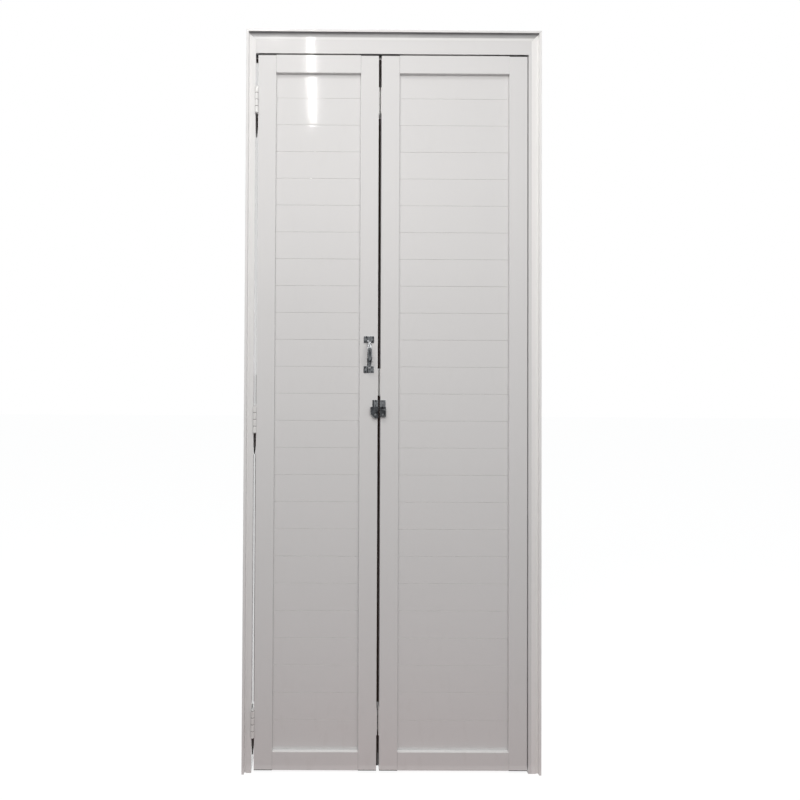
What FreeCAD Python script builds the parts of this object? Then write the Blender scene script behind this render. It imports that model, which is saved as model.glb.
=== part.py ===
import FreeCAD, Part
import math
import os
import re
import Sketcher

# A two-leaf bifold closet door in its frame, with both leaves closed. All lengths are millimetres.
# The origin is the middle of the doorway at floor level, on the front face of the wall.
# +X runs to the closing side, +Y runs back through the wall and +Z points up.

SIZES = {
    # Frame and casings. A depth is measured forward from the wall's front face.
    "frame_width": 850.0,
    "frame_height": 2125.0,
    "casing_width": 27.0,
    "casing_band_depth": 6.0,
    "casing_lip_depth": 12.0,
    "casing_lip_width": 7.0,
    "casing_lip_round": 2.0,
    "casing_cove_width": 10.0,
    "casing_cove_radius": 13.0,
    "casing_cove_step": 1.5,
    "casing_edge_round": 0.8,
    "casing_wall": 1.5,
    "mitre_gap": 0.3,
    "jamb_wall": 2.0,
    "jamb_depth": 80.0,
    "jamb_flange": 20.0,
    "head_drop": 40.0,
    "frame_joint_gap": 0.2,
    "angle_leg": 25.0,
    "angle_length": 30.0,
    "angle_start": 36.0,
    "closing_strip_width": 8.7,
    "closing_strip_wall": 1.5,
    # Holes in the jambs for the screws that hold the frame in the wall.
    "mount_hole_radius": 3.2,
    "mount_hole_depth": 56.0,
    "mount_hole_low": 300.0,
    "mount_hole_spacing": 1500.0,
    # Guide track in the head.
    "track_wall": 1.5,
    "track_slot": 13.0,
    "track_recess": 1.0,
    # Leaves and the running gaps round them.
    "left_leaf_width": 348.0,
    "leaf_thickness": 28.0,
    "floor_gap": 8.0,
    "head_gap": 4.0,
    "hinge_gap": 7.0,
    "centre_gap": 8.0,
    "closing_gap": 3.3,
    # Hollow extrusion of the stiles and rails.
    "stile_width": 52.0,
    "extrusion_wall": 1.6,
    "extrusion_round": 1.2,
    "slot_depth": 12.0,
    "rail_end_gap": 0.2,
    # Tongue and groove slats.
    "slat_thickness": 8.0,
    "slat_side_clearance": 0.3,
    "slat_end_clearance": 2.0,
    "slat_pitch": 77.8,
    "slat_joint_gap": 0.6,
    "slat_bevel": 0.8,
    "slat_wall": 1.0,
    "starter_slat_show": 6.0,
    "tongue_width": 2.4,
    "tongue_length": 6.0,
    "tongue_clearance": 0.3,
    # Corner joints, end caps and top seals of the leaves.
    "corner_block_length": 30.0,
    "corner_block_clearance": 0.2,
    "driver_hole_radius": 4.5,
    "cap_thickness": 2.0,
    "cap_plug_length": 10.0,
    "cap_clearance": 0.2,
    "seal_width": 8.0,
    "seal_head_clearance": 0.5,
    "seal_end_gap": 1.0,
    # Butt hinges. The rise is from the leaf's foot to the middle of the lowest hinge, the drop from
    # the leaf's top to the highest, and the offset is the middle hinge's from the leaf's half height.
    "hinge_height": 76.0,
    "hinge_plate": 2.0,
    "hinge_barrel_radius": 5.0,
    "hinge_barrel_clearance": 0.3,
    "hinge_pin_radius": 2.5,
    "hinge_pin_fit": 0.05,
    "hinge_pin_head": 1.5,
    "hinge_pin_head_overhang": 1.5,
    "hinge_plate_inset": 2.0,
    "hinge_screw_stagger": 4.0,
    "hinge_screw_spacing": 26.0,
    "knuckle_gap": 0.4,
    "knuckles_per_leaf": 2,
    "jamb_hinge_rise": 133.0,
    "jamb_hinge_offset": -27.5,
    "jamb_hinge_drop": 133.5,
    "centre_hinge_rise": 136.0,
    "centre_hinge_offset": 80.0,
    "centre_hinge_drop": 130.0,
    # Countersunk screws.
    "screw_radius": 1.8,
    "screw_head_radius": 3.4,
    "screw_head_height": 1.6,
    "screw_length": 9.0,
    "screw_clearance": 0.1,
    "recess_depth": 1.0,
    "recess_width": 0.8,
    "recess_reach": 2.0,
    "assembly_screw_radius": 2.0,
    "assembly_screw_length": 34.0,
    "assembly_head_radius": 3.5,
    "assembly_head_height": 2.5,
    # Bow pull on the left leaf.
    "pull_height": 1190.0,
    "pull_inset": 26.0,
    "pull_length": 105.0,
    "pull_foot_width": 29.5,
    "pull_foot_height": 19.0,
    "pull_foot_thickness": 2.5,
    "pull_foot_round": 1.5,
    "pull_reach": 30.0,
    "pull_bow_thickness": 4.0,
    "pull_bow_root": 5.2,
    "pull_bow_foot_lap": 10.0,
    "pull_bow_width": 14.0,
    "pull_bow_end_width": 9.0,
    "pull_screw_spacing": 18.0,
    # Surface latch across the gap between the leaves. Sideways sizes run from the middle of the gap.
    "latch_below_pull": 77.5,
    "latch_height": 51.0,
    "latch_plate": 2.0,
    "latch_depth": 10.0,
    "latch_round": 1.5,
    "latch_tab_screw_height": 42.0,
    "latch_block_screw_height": 9.5,
    "latch_block_top": 32.0,
    "keeper_near": 3.0,
    "keeper_tab_far": 19.0,
    "keeper_block_far": 25.0,
    "keeper_block_taper": 4.0,
    "keeper_shoulder_height": 12.0,
    "keeper_pocket_depth": 9.0,
    "latch_body_near": 2.3,
    "latch_body_far": 18.5,
    "latch_body_bottom": 4.0,
    "bolt_height": 7.0,
    "bolt_thickness": 4.5,
    "bolt_middle_height": 24.5,
    "bolt_middle_depth": 5.25,
    "bolt_near": 3.0,
    "bolt_far": 18.0,
    "bolt_clearance": 0.5,
    "bolt_travel": 9.0,
    "thumb_neck_start": 13.4,
    "thumb_neck_width": 3.0,
    "thumb_thickness": 2.0,
    "thumb_reach": 3.0,
    "thumb_start": 6.0,
    "thumb_end": 20.6,
    # Guide on top of the right leaf.
    "guide_inset": 50.0,
    "guide_plate_overhang": 9.0,
    "guide_plate_width": 18.0,
    "guide_plate_thickness": 1.8,
    "guide_screw_spacing": 18.0,
    "guide_screw_edge": 8.0,
    "guide_block_clearance": 5.0,
    "guide_pin_radius": 3.0,
    "guide_pin_fit": 0.05,
    "guide_pin_flange_radius": 4.5,
    "guide_pin_flange": 1.0,
    "roller_radius": 8.0,
    "roller_height": 8.0,
    "roller_axle_radius": 2.5,
    "roller_axle_fit": 0.08,
    "roller_end_play": 0.4,
    "roller_lift": 5.0,
    "roller_groove": 1.0,
    # How far a cutting sketch runs past the faces that it cuts.
    "cut_margin": 2.0,
}

# Places that follow from the sizes, in the frame of the whole door.
PLACES = {
    "jamb_face": "frame_width / 2 - casing_width",
    "head_web": "frame_height - casing_width",
    "head_underside": "head_web - head_drop",
    "leaf_front": "-casing_band_depth",
    "leaf_back": "leaf_front + leaf_thickness",
    "leaf_middle": "leaf_front + leaf_thickness / 2",
    "leaf_bottom": "floor_gap",
    "leaf_top": "head_underside - head_gap",
    "left_leaf_start": "-jamb_face + hinge_gap",
    "left_leaf_end": "left_leaf_start + left_leaf_width",
    "right_leaf_start": "left_leaf_end + centre_gap",
    "right_leaf_end": "jamb_face - closing_strip_width - closing_gap",
    "slat_run": "leaf_top - leaf_bottom - 2 * stile_width - starter_slat_show",
    "slat_count": "floor(slat_run / slat_pitch)",
    "first_joint": "leaf_bottom + stile_width + starter_slat_show",
    "last_joint": "first_joint + slat_count * slat_pitch",
    "slat_hold": "slot_depth - slat_end_clearance",
    "slot_cheek": "(leaf_thickness - slat_thickness) / 2 - slat_side_clearance",
    "cell_width": "stile_width - slot_depth - 2 * extrusion_wall",
    "leaf_half_height": "(leaf_bottom + leaf_top) / 2",
    "jamb_hinge_low": "leaf_bottom + jamb_hinge_rise",
    "jamb_hinge_middle": "leaf_half_height + jamb_hinge_offset",
    "jamb_hinge_high": "leaf_top - jamb_hinge_drop",
    "centre_hinge_low": "leaf_bottom + centre_hinge_rise",
    "centre_hinge_middle": "leaf_half_height + centre_hinge_offset",
    "centre_hinge_high": "leaf_top - centre_hinge_drop",
    "barrel_keepout": "hinge_barrel_radius + hinge_barrel_clearance",
    "jamb_pin_proud": "sqrt(max(barrel_keepout ^ 2 - (hinge_gap / 2) ^ 2; 0))",
    "centre_pin_proud": "sqrt(max(barrel_keepout ^ 2 - (centre_gap / 2) ^ 2; 0))",
    "jamb_pin_x": "left_leaf_start - hinge_gap / 2",
    "jamb_pin_y": "leaf_front - jamb_pin_proud",
    "centre_pin_x": "left_leaf_end + centre_gap / 2",
    "centre_pin_y": "leaf_back + centre_pin_proud",
    "knuckle_step": "(hinge_height + knuckle_gap) / (2 * knuckles_per_leaf)",
    "screw_hole": "screw_radius + screw_clearance",
    "pull_middle": "left_leaf_end - pull_inset",
    "pull_foot_middle": "pull_length / 2 - pull_foot_height / 2",
    "latch_bottom": "pull_height - pull_length / 2 - latch_below_pull - latch_height",
    "guide_x": "right_leaf_end - guide_inset",
    "guide_outer_screw": "right_leaf_end - stile_width - rail_end_gap - corner_block_length"
                         " - guide_block_clearance",
    "guide_plate_start": "guide_outer_screw - guide_screw_spacing - guide_screw_edge",
    "track_width": "leaf_thickness - 2 * jamb_wall - 2 * frame_joint_gap",
    "track_height": "head_drop - jamb_wall - track_recess - frame_joint_gap",
}

HINGE_LEVELS = ["low", "middle", "high"]
LEVEL_NAMES = {"low": "bottom", "middle": "middle", "high": "top"}

doc = FreeCAD.newDocument("bifold_closet_door")
nodes = []


# ---------------------------------------------------------------------------
# Sizes and expressions
# ---------------------------------------------------------------------------

def fill_sheet():
    """Writes every driving size into the sheet, with its name as the alias."""
    sheet = doc.addObject("Spreadsheet::Sheet", "Sizes")
    for row, (name, number) in enumerate(SIZES.items(), 1):
        sheet.set(f"A{row}", name)
        sheet.set(f"B{row}", str(number))
        sheet.setAlias(f"B{row}", name)
    doc.recompute()
    return sheet


def full(text):
    """Writes a formula out in full: places become formulas, sizes become cells of the sheet."""

    def swap(match):
        word = match.group(0)
        if word in PLACES:
            return "(" + full(PLACES[word]) + ")"
        if word in SIZES:
            return "Sizes." + word
        return word

    return re.sub(r"[a-z_]+", swap, str(text))


def number(text):
    """The present value of a formula."""
    return float(sheet.evalExpression(full(text)))


def add(left, right):
    """The formula of a sum."""
    return f"({left}) + ({right})"


def times(factor, text):
    """The formula of a product."""
    return f"({factor}) * ({text})"


# ---------------------------------------------------------------------------
# Bodies, sketches and features
# ---------------------------------------------------------------------------

NORMAL_SIGN = {"XY": 1, "YZ": 1, "XZ": -1}


def place(item, x="0", y="0", z="0"):
    """Binds the position of an object to three formulas."""
    for axis, formula in zip("xyz", (x, y, z)):
        item.setExpression(f"Placement.Base.{axis}", full(formula))


def new_body(label, x="0", y="0", z="0", node=True):
    """A PartDesign body at a place; node=False makes one that is only copied."""
    body = doc.addObject("PartDesign::Body", label)
    body.Label = label
    place(body, x, y, z)
    if node:
        nodes.append(body)
    return body


def new_sketch(body, name, plane, offset="0"):
    """An empty sketch parallel to one of the body's origin planes, offset along the row axis."""
    sketch = body.newObject("Sketcher::SketchObject", name)
    role = plane + "_Plane"
    support = next(item for item in body.Origin.OriginFeatures if item.Role == role)
    sketch.AttachmentSupport = (support, [""])
    sketch.MapMode = "FlatFace"
    sketch.setExpression("AttachmentOffset.Base.z", full(times(NORMAL_SIGN[plane], offset)))
    return sketch


def bind(sketch, kind, geometry, point, formula):
    """Holds one coordinate of a sketch point at a formula."""
    constraint = Sketcher.Constraint(kind, -1, 1, geometry, point, number(formula))
    row = sketch.addConstraint(constraint)
    sketch.setExpression(f"Constraints[{row}]", full(formula))


def arc_between(start, end, bulge, radius):
    """The short arc of a radius between two points; its bulge is left or right of the way travelled."""
    chord = end - start
    middle = (start + end) / 2
    left = FreeCAD.Vector(-chord.y, chord.x, 0).normalize()
    side = 1 if bulge == "left" else -1
    rise = radius - math.sqrt(radius ** 2 - chord.Length ** 2 / 4)
    return Part.Arc(start, middle + left * side * rise, end)


def outline(sketch, corners):
    """A closed outline. A corner is (x, y), or (x, y, bulge, radius) where an arc leaves it."""
    places = [FreeCAD.Vector(number(corner[0]), number(corner[1]), 0) for corner in corners]
    first = sketch.GeometryCount
    count = len(corners)
    ends = []
    for step, corner in enumerate(corners):
        start, end = places[step], places[(step + 1) % count]
        if len(corner) == 2:
            sketch.addGeometry(Part.LineSegment(start, end))
            ends.append((1, 2))
        else:
            sketch.addGeometry(arc_between(start, end, corner[2], number(corner[3])))
            ends.append((2, 1) if corner[2] == "left" else (1, 2))
    for step, corner in enumerate(corners):
        following = (step + 1) % count
        joint = Sketcher.Constraint(
            "Coincident", first + step, ends[step][1], first + following, ends[following][0])
        sketch.addConstraint(joint)
        bind(sketch, "DistanceX", first + step, ends[step][0], corner[0])
        bind(sketch, "DistanceY", first + step, ends[step][0], corner[1])
        if len(corner) == 4:
            row = sketch.addConstraint(Sketcher.Constraint("Radius", first + step, number(corner[3])))
            sketch.setExpression(f"Constraints[{row}]", full(corner[3]))


def rectangle(sketch, x_low, y_low, x_high, y_high):
    """A rectangle between two opposite corners."""
    outline(sketch, [(x_low, y_low), (x_high, y_low), (x_high, y_high), (x_low, y_high)])


def circles(sketch, centres, radius):
    """Circles of one radius at several centres."""
    for x, y in centres:
        centre = FreeCAD.Vector(number(x), number(y), 0)
        circle = sketch.addGeometry(Part.Circle(centre, FreeCAD.Vector(0, 0, 1), number(radius)))
        bind(sketch, "DistanceX", circle, 3, x)
        bind(sketch, "DistanceY", circle, 3, y)
        row = sketch.addConstraint(Sketcher.Constraint("Radius", circle, number(radius)))
        sketch.setExpression(f"Constraints[{row}]", full(radius))


def plane_of(sketch):
    """The name of the origin plane that a sketch lies on."""
    return sketch.AttachmentSupport[0][0].Role[:2]


def pad(body, name, sketch, length, toward=1):
    """Adds the sketch, extruded along the row axis, toward its plus or minus end."""
    feature = body.newObject("PartDesign::Pad", name)
    feature.Profile = sketch
    feature.setExpression("Length", full(length))
    feature.Reversed = NORMAL_SIGN[plane_of(sketch)] != toward
    body.Tip = feature
    doc.recompute()
    return feature


def cut(body, name, sketch, length, toward=1, taper=0):
    """Cuts the sketch, extruded along the row axis; it is an error if nothing is removed."""
    before = body.Shape.Volume
    feature = body.newObject("PartDesign::Pocket", name)
    feature.Profile = sketch
    feature.setExpression("Length", full(length))
    feature.Reversed = NORMAL_SIGN[plane_of(sketch)] == toward
    feature.TaperAngle = taper
    body.Tip = feature
    doc.recompute()
    if body.Shape.Volume >= before:
        raise RuntimeError(f"{name} removes nothing from {body.Label}")
    return feature


def turn(body, name, sketch):
    """Revolves a section in the XZ plane about the body's Z axis."""
    feature = body.newObject("PartDesign::Revolution", name)
    feature.Profile = sketch
    feature.ReferenceAxis = (sketch, ["V_Axis"])
    feature.Angle = 360
    body.Tip = feature
    doc.recompute()
    return feature


def repeat(body, name, features, direction, spacing, count):
    """A straight pattern of features."""
    pattern = body.newObject("PartDesign::LinearPattern", name)
    pattern.Originals = features
    pattern.Direction = direction
    pattern.Mode = "Spacing"
    pattern.setExpression("Offset", full(spacing))
    pattern.setExpression("Occurrences", full(count))
    body.Tip = pattern
    doc.recompute()
    return pattern


def round_corners(body, name, radius, corners, axis):
    """Rounds the straight edges along one axis that stand on the given corners of the section."""
    base = body.Tip
    shape = base.Shape
    across = [letter for letter in "xyz" if letter != axis]
    spots = [(number(first), number(second)) for first, second in corners]
    names = []
    for index, edge in enumerate(shape.Edges, 1):
        start, end = edge.Vertexes[0].Point, edge.Vertexes[-1].Point
        here = tuple(getattr(start, letter) for letter in across)
        there = tuple(getattr(end, letter) for letter in across)
        if math.dist(here, there) > 0.001 or edge.Length < 0.001:
            continue
        if any(math.dist(here, spot) < 0.001 for spot in spots):
            names.append(f"Edge{index}")
    if len(names) < len(spots):
        raise RuntimeError(f"{name} finds {len(names)} of {len(spots)} corners on {body.Label}")
    fillet = body.newObject("PartDesign::Fillet", name)
    fillet.Base = (base, names)
    fillet.setExpression("Radius", full(radius))
    body.Tip = fillet
    doc.recompute()
    return fillet


def group(label, copies):
    """One node of separate solids: copies of a prototype, each at (x, y, z, rotation)."""
    links = []
    for index, (prototype, x, y, z, rotation) in enumerate(copies, 1):
        link = doc.addObject("App::Link", f"{label}_{index}")
        link.LinkedObject = prototype
        link.Placement = FreeCAD.Placement(FreeCAD.Vector(), rotation)
        place(link, x, y, z)
        links.append(link)
    compound = doc.addObject("Part::Compound", label)
    compound.Label = label
    compound.Links = links
    nodes.append(compound)
    return compound


UPRIGHT = FreeCAD.Rotation()
POINTS_LEFT = FreeCAD.Rotation(FreeCAD.Vector(0, 1, 0), 90)
POINTS_RIGHT = FreeCAD.Rotation(FreeCAD.Vector(0, 1, 0), -90)
POINTS_BACK = FreeCAD.Rotation(FreeCAD.Vector(1, 0, 0), 90)
POINTS_UP = FreeCAD.Rotation(FreeCAD.Vector(1, 0, 0), 180)


# ---------------------------------------------------------------------------
# Frame
# ---------------------------------------------------------------------------

# The hollow under the casing's lip: its two sides, counted outward, then its front and its back.
# It stays clear of the step that laps the jamb's flange.
CASING_CELL = ("max(casing_width - casing_lip_width; jamb_flange) + casing_wall",
               "casing_width - casing_wall", "casing_wall - casing_lip_depth", "-casing_wall")


def casing_section():
    """The casing's section as (distance outward from the jamb face, depth toward the wall)."""
    cove_start = "casing_width - casing_lip_width - casing_cove_width"
    lip_start = "casing_width - casing_lip_width"
    cove_top = "casing_cove_step - casing_lip_depth"
    lap_end = "jamb_flange + frame_joint_gap"
    return [
        ("0", "-jamb_wall"),
        ("0", "-casing_band_depth"),
        (cove_start, "-casing_band_depth", "cove", "casing_cove_radius"),
        (lip_start, cove_top),
        (lip_start, "-casing_lip_depth"),
        ("casing_width", "-casing_lip_depth"),
        ("casing_width", "0"),
        (lap_end, "0"),
        (lap_end, "-jamb_wall"),
    ]


def side_casing(label, side):
    """A casing beside the doorway, mitred at its top; side is -1 at the hinges, 1 at the closing edge."""
    body = new_body(label, x=times(side, "jamb_face"))
    section = new_sketch(body, label + "_section", "XY")
    bulge = "left" if side > 0 else "right"
    corners = []
    for corner in casing_section():
        arc = (bulge, corner[3]) if len(corner) == 4 else ()
        corners.append((times(side, corner[0]), corner[1]) + arc)
    outline(section, corners)
    inner, outer, front, back = CASING_CELL
    rectangle(section, times(side, inner), front, times(side, outer), back)
    pad(body, label + "_length", section, "frame_height")
    lip_outside = (times(side, "casing_width"), "-casing_lip_depth")
    round_corners(body, label + "_lip_round", "casing_lip_round", [lip_outside], "z")
    edges = [(times(side, "casing_width - casing_lip_width"), "-casing_lip_depth"),
             ("0", "-casing_band_depth")]
    round_corners(body, label + "_edge_round", "casing_edge_round", edges, "z")
    mitre = new_sketch(body, label + "_mitre_line", "XZ", "-casing_lip_depth - cut_margin")
    outline(mitre, [
        (times(side, "casing_width + cut_margin"), "frame_height + cut_margin - mitre_gap"),
        (times(side, "-cut_margin"), "frame_height - casing_width - cut_margin - mitre_gap"),
        (times(side, "-cut_margin"), "frame_height + cut_margin"),
        (times(side, "casing_width + cut_margin"), "frame_height + 2 * cut_margin"),
    ])
    cut(body, label + "_mitre", mitre, "casing_lip_depth + 2 * cut_margin")


def head_casing():
    """The casing over the doorway, mitred at both ends."""
    label = "casing_head"
    body = new_body(label, x="-frame_width / 2", z="head_web")
    section = new_sketch(body, label + "_section", "YZ")
    corners = []
    for corner in casing_section():
        arc = ("right", corner[3]) if len(corner) == 4 else ()
        corners.append((corner[1], corner[0]) + arc)
    outline(section, corners)
    inner, outer, front, back = CASING_CELL
    rectangle(section, front, inner, back, outer)
    pad(body, label + "_length", section, "frame_width")
    round_corners(body, label + "_lip_round", "casing_lip_round",
                  [("-casing_lip_depth", "casing_width")], "x")
    edges = [("-casing_lip_depth", "casing_width - casing_lip_width"), ("-casing_band_depth", "0")]
    round_corners(body, label + "_edge_round", "casing_edge_round", edges, "x")
    mitre = new_sketch(body, label + "_mitre_lines", "XZ", "-casing_lip_depth - cut_margin")
    outline(mitre, [
        ("-cut_margin", "casing_width + cut_margin"),
        ("casing_width + cut_margin", "-cut_margin"),
        ("-cut_margin", "-cut_margin"),
    ])
    outline(mitre, [
        ("frame_width + cut_margin", "casing_width + cut_margin"),
        ("frame_width - casing_width - cut_margin", "-cut_margin"),
        ("frame_width + cut_margin", "-cut_margin"),
    ])
    cut(body, label + "_mitres", mitre, "casing_lip_depth + 2 * cut_margin")


def hinge_screw_spots(pin_y, proud, reach):
    """The (y, z above the hinge's foot) of a hinge leaf's three screws; the middle one stands out."""
    first = "hinge_barrel_radius + knuckle_gap"
    last = f"{proud} + leaf_thickness - hinge_plate_inset"
    middle = f"(({first}) + ({last})) / 2"
    spots = []
    for row in (-1, 0, 1):
        stagger = "hinge_screw_stagger" if row == 0 else "-hinge_screw_stagger"
        y = f"{pin_y} + ({reach}) * (({middle}) + ({stagger}))"
        z = f"hinge_height / 2 + ({row}) * hinge_screw_spacing"
        spots.append((y, z))
    return spots


def all_hinge_screws(kind):
    """The (y, z) of every screw in one row of hinges; kind is jamb or centre."""
    reach = 1 if kind == "jamb" else -1
    spots = []
    for level in HINGE_LEVELS:
        for y, z in hinge_screw_spots(f"{kind}_pin_y", f"{kind}_pin_proud", reach):
            spots.append((y, f"{kind}_hinge_{level} - hinge_height / 2 + {z}"))
    return spots


def mount_hole_spots():
    """The (y, z) of the wall fixing holes in a jamb."""
    return [("mount_hole_depth", "mount_hole_low"),
            ("mount_hole_depth", "mount_hole_low + mount_hole_spacing")]


def jamb(label, side, screw_spots):
    """An angle section that lines the wall opening, with a flange on the wall's front face."""
    body = new_body(label, x=times(side, "jamb_face"))
    section = new_sketch(body, label + "_section", "XY")
    web_back = "jamb_depth - jamb_wall"
    outline(section, [
        ("0", "-jamb_wall"),
        ("0", web_back),
        (times(side, "jamb_wall"), web_back),
        (times(side, "jamb_wall"), "0"),
        (times(side, "jamb_flange"), "0"),
        (times(side, "jamb_flange"), "-jamb_wall"),
    ])
    pad(body, label + "_height", section, "head_web")
    holes = new_sketch(body, label + "_mount_spots", "YZ", times(-side, "cut_margin"))
    circles(holes, mount_hole_spots(), "mount_hole_radius")
    cut(body, label + "_mount_holes", holes, "jamb_wall + 2 * cut_margin", toward=side)
    screws = new_sketch(body, label + "_screw_spots", "YZ", times(-side, "cut_margin"))
    circles(screws, screw_spots, "screw_hole")
    cut(body, label + "_screw_holes", screws, "jamb_wall + 2 * cut_margin", toward=side)


ANGLE_SCREW_Y = "angle_start + angle_length / 2"
ANGLE_SCREW_IN = "jamb_wall + (angle_leg - jamb_wall) / 2"


def head():
    """The head: an angle like the jambs' with a channel under it that hides the guide track."""
    label = "head_profile"
    body = new_body(label, x="-jamb_face - jamb_wall", z="head_web")
    section = new_sketch(body, label + "_angle_section", "YZ")
    web_back = "jamb_depth - jamb_wall"
    outline(section, [
        ("-jamb_wall", "0"),
        (web_back, "0"),
        (web_back, "jamb_wall"),
        ("0", "jamb_wall"),
        ("0", "jamb_flange"),
        ("-jamb_wall", "jamb_flange"),
    ])
    pad(body, label + "_angle", section, "2 * jamb_face + 2 * jamb_wall")
    channel = new_sketch(body, label + "_channel_section", "YZ", "jamb_wall + frame_joint_gap")
    outline(channel, [
        ("leaf_front", "0"),
        ("leaf_front", "-head_drop"),
        ("leaf_front + jamb_wall", "-head_drop"),
        ("leaf_front + jamb_wall", "-jamb_wall"),
        ("leaf_back - jamb_wall", "-jamb_wall"),
        ("leaf_back - jamb_wall", "-head_drop"),
        ("leaf_back", "-head_drop"),
        ("leaf_back", "0"),
    ])
    pad(body, label + "_channel", channel, "2 * jamb_face - 2 * frame_joint_gap")
    round_corners(body, label + "_edge_round", "casing_edge_round", [("leaf_front", "-head_drop")], "x")
    screws = new_sketch(body, label + "_screw_spots", "XY", "-cut_margin")
    circles(screws, [
        (add("jamb_wall", ANGLE_SCREW_IN), ANGLE_SCREW_Y),
        (f"2 * jamb_face + jamb_wall - ({ANGLE_SCREW_IN})", ANGLE_SCREW_Y),
    ], "screw_hole")
    cut(body, label + "_screw_holes", screws, "jamb_wall + 2 * cut_margin")


def corner_angles(screw):
    """The two angles that join the jambs to the head, behind the leaves, and their screws."""
    label = "frame_corner_angles"
    body = new_body(label, y="angle_start", z="head_web")
    section = new_sketch(body, label + "_sections", "XZ")
    for side in (-1, 1):
        outline(section, [
            (times(side, "jamb_face"), "0"),
            (times(side, "jamb_face"), "-angle_leg"),
            (times(side, "jamb_face - jamb_wall"), "-angle_leg"),
            (times(side, "jamb_face - jamb_wall"), "-jamb_wall"),
            (times(side, "jamb_face - angle_leg"), "-jamb_wall"),
            (times(side, "jamb_face - angle_leg"), "0"),
        ])
    pad(body, label + "_length", section, "angle_length")
    up = new_sketch(body, label + "_head_spots", "XY", "-jamb_wall - cut_margin")
    head_spots = [(times(side, f"jamb_face - ({ANGLE_SCREW_IN})"), "angle_length / 2") for side in (-1, 1)]
    circles(up, head_spots, "screw_hole")
    cut(body, label + "_head_holes", up, "jamb_wall + 2 * cut_margin")
    countersink(body, label + "_head_sinks", "XY", "-jamb_wall", head_spots, 1)
    for side, name in ((-1, "hinge"), (1, "closing")):
        spots = [("angle_length / 2", f"-({ANGLE_SCREW_IN})")]
        across = new_sketch(body, f"{label}_{name}_spots", "YZ",
                            times(side, "jamb_face - jamb_wall - cut_margin"))
        circles(across, spots, "screw_hole")
        cut(body, f"{label}_{name}_holes", across, "jamb_wall + 2 * cut_margin", toward=side)
        countersink(body, f"{label}_{name}_sinks", "YZ", times(side, "jamb_face - jamb_wall"), spots, side)
    copies = []
    for side, points in ((-1, POINTS_LEFT), (1, POINTS_RIGHT)):
        inset = times(side, f"jamb_face - ({ANGLE_SCREW_IN})")
        copies.append((screw, inset, ANGLE_SCREW_Y, "head_web - jamb_wall", POINTS_UP))
        face = times(side, "jamb_face - jamb_wall")
        copies.append((screw, face, ANGLE_SCREW_Y, f"head_web - ({ANGLE_SCREW_IN})", points))
    group("frame_corner_screws", copies)


def head_track():
    """The aluminium track that the guide roller runs in, slotted along its underside."""
    label = "head_track"
    body = new_body(label, x="-jamb_face + frame_joint_gap", y="leaf_middle",
                    z="head_underside + track_recess")
    section = new_sketch(body, label + "_section", "YZ")
    half, slot = "track_width / 2", "track_slot / 2"
    outline(section, [
        (f"-{half}", "0"),
        (f"-{slot}", "0"),
        (f"-{slot}", "track_wall"),
        (f"-{half} + track_wall", "track_wall"),
        (f"-{half} + track_wall", "track_height - track_wall"),
        (f"{half} - track_wall", "track_height - track_wall"),
        (f"{half} - track_wall", "track_wall"),
        (slot, "track_wall"),
        (slot, "0"),
        (half, "0"),
        (half, "track_height"),
        (f"-{half}", "track_height"),
    ])
    pad(body, label + "_length", section, "2 * jamb_face - 2 * frame_joint_gap")


def closing_strip():
    """The hollow strip on the closing jamb that the right leaf's edge closes against."""
    label = "closing_strip"
    body = new_body(label, x="jamb_face - closing_strip_width", y="leaf_front")
    section = new_sketch(body, label + "_section", "XY")
    rectangle(section, "0", "0", "closing_strip_width", "leaf_thickness")
    wall = "closing_strip_wall"
    rectangle(section, wall, wall, f"closing_strip_width - {wall}", f"leaf_thickness - {wall}")
    pad(body, label + "_height", section, "head_underside - frame_joint_gap")
    round_corners(body, label + "_edge_round", "casing_edge_round", [("0", "0")], "z")


# ---------------------------------------------------------------------------
# Screws
# ---------------------------------------------------------------------------

def countersink(body, name, plane, offset, spots, toward):
    """Cone seats for screw heads whose tops lie flush with the face at the offset."""
    sketch = new_sketch(body, name + "_spots", plane, offset)
    circles(sketch, spots, "screw_head_radius + screw_clearance")
    cut(body, name, sketch, "screw_head_height + screw_clearance", toward=toward, taper=-45)


def screw_prototype():
    """A countersunk screw that points down, with a cross recess; its head's top lies at z = 0."""
    label = "countersunk_screw"
    body = new_body(label, node=False)
    section = new_sketch(body, label + "_section", "XZ")
    outline(section, [
        ("0", "0"),
        ("screw_head_radius", "0"),
        ("screw_radius", "-screw_head_height"),
        ("screw_radius", "screw_radius - screw_length"),
        ("0", "-screw_length"),
    ])
    turn(body, label + "_turned", section)
    recess = new_sketch(body, label + "_recess_outline", "XY")
    arm, half = "recess_reach", "recess_width / 2"
    outline(recess, [
        (half, arm), (half, half), (arm, half), (arm, f"-{half}"),
        (half, f"-{half}"), (half, f"-{arm}"), (f"-{half}", f"-{arm}"), (f"-{half}", f"-{half}"),
        (f"-{arm}", f"-{half}"), (f"-{arm}", half), (f"-{half}", half), (f"-{half}", arm),
    ])
    cut(body, label + "_recess", recess, "recess_depth", toward=-1)
    return body


def assembly_screw_prototype():
    """A pan-head screw that points down and holds a stile to a corner block."""
    label = "assembly_screw"
    body = new_body(label, node=False)
    section = new_sketch(body, label + "_section", "XZ")
    outline(section, [
        ("0", "assembly_head_height"),
        ("assembly_head_radius", "assembly_head_height"),
        ("assembly_head_radius", "0"),
        ("assembly_screw_radius", "0"),
        ("assembly_screw_radius", "assembly_screw_radius - assembly_screw_length"),
        ("0", "-assembly_screw_length"),
    ])
    turn(body, label + "_turned", section)
    return body


# ---------------------------------------------------------------------------
# Leaves
# ---------------------------------------------------------------------------

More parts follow.
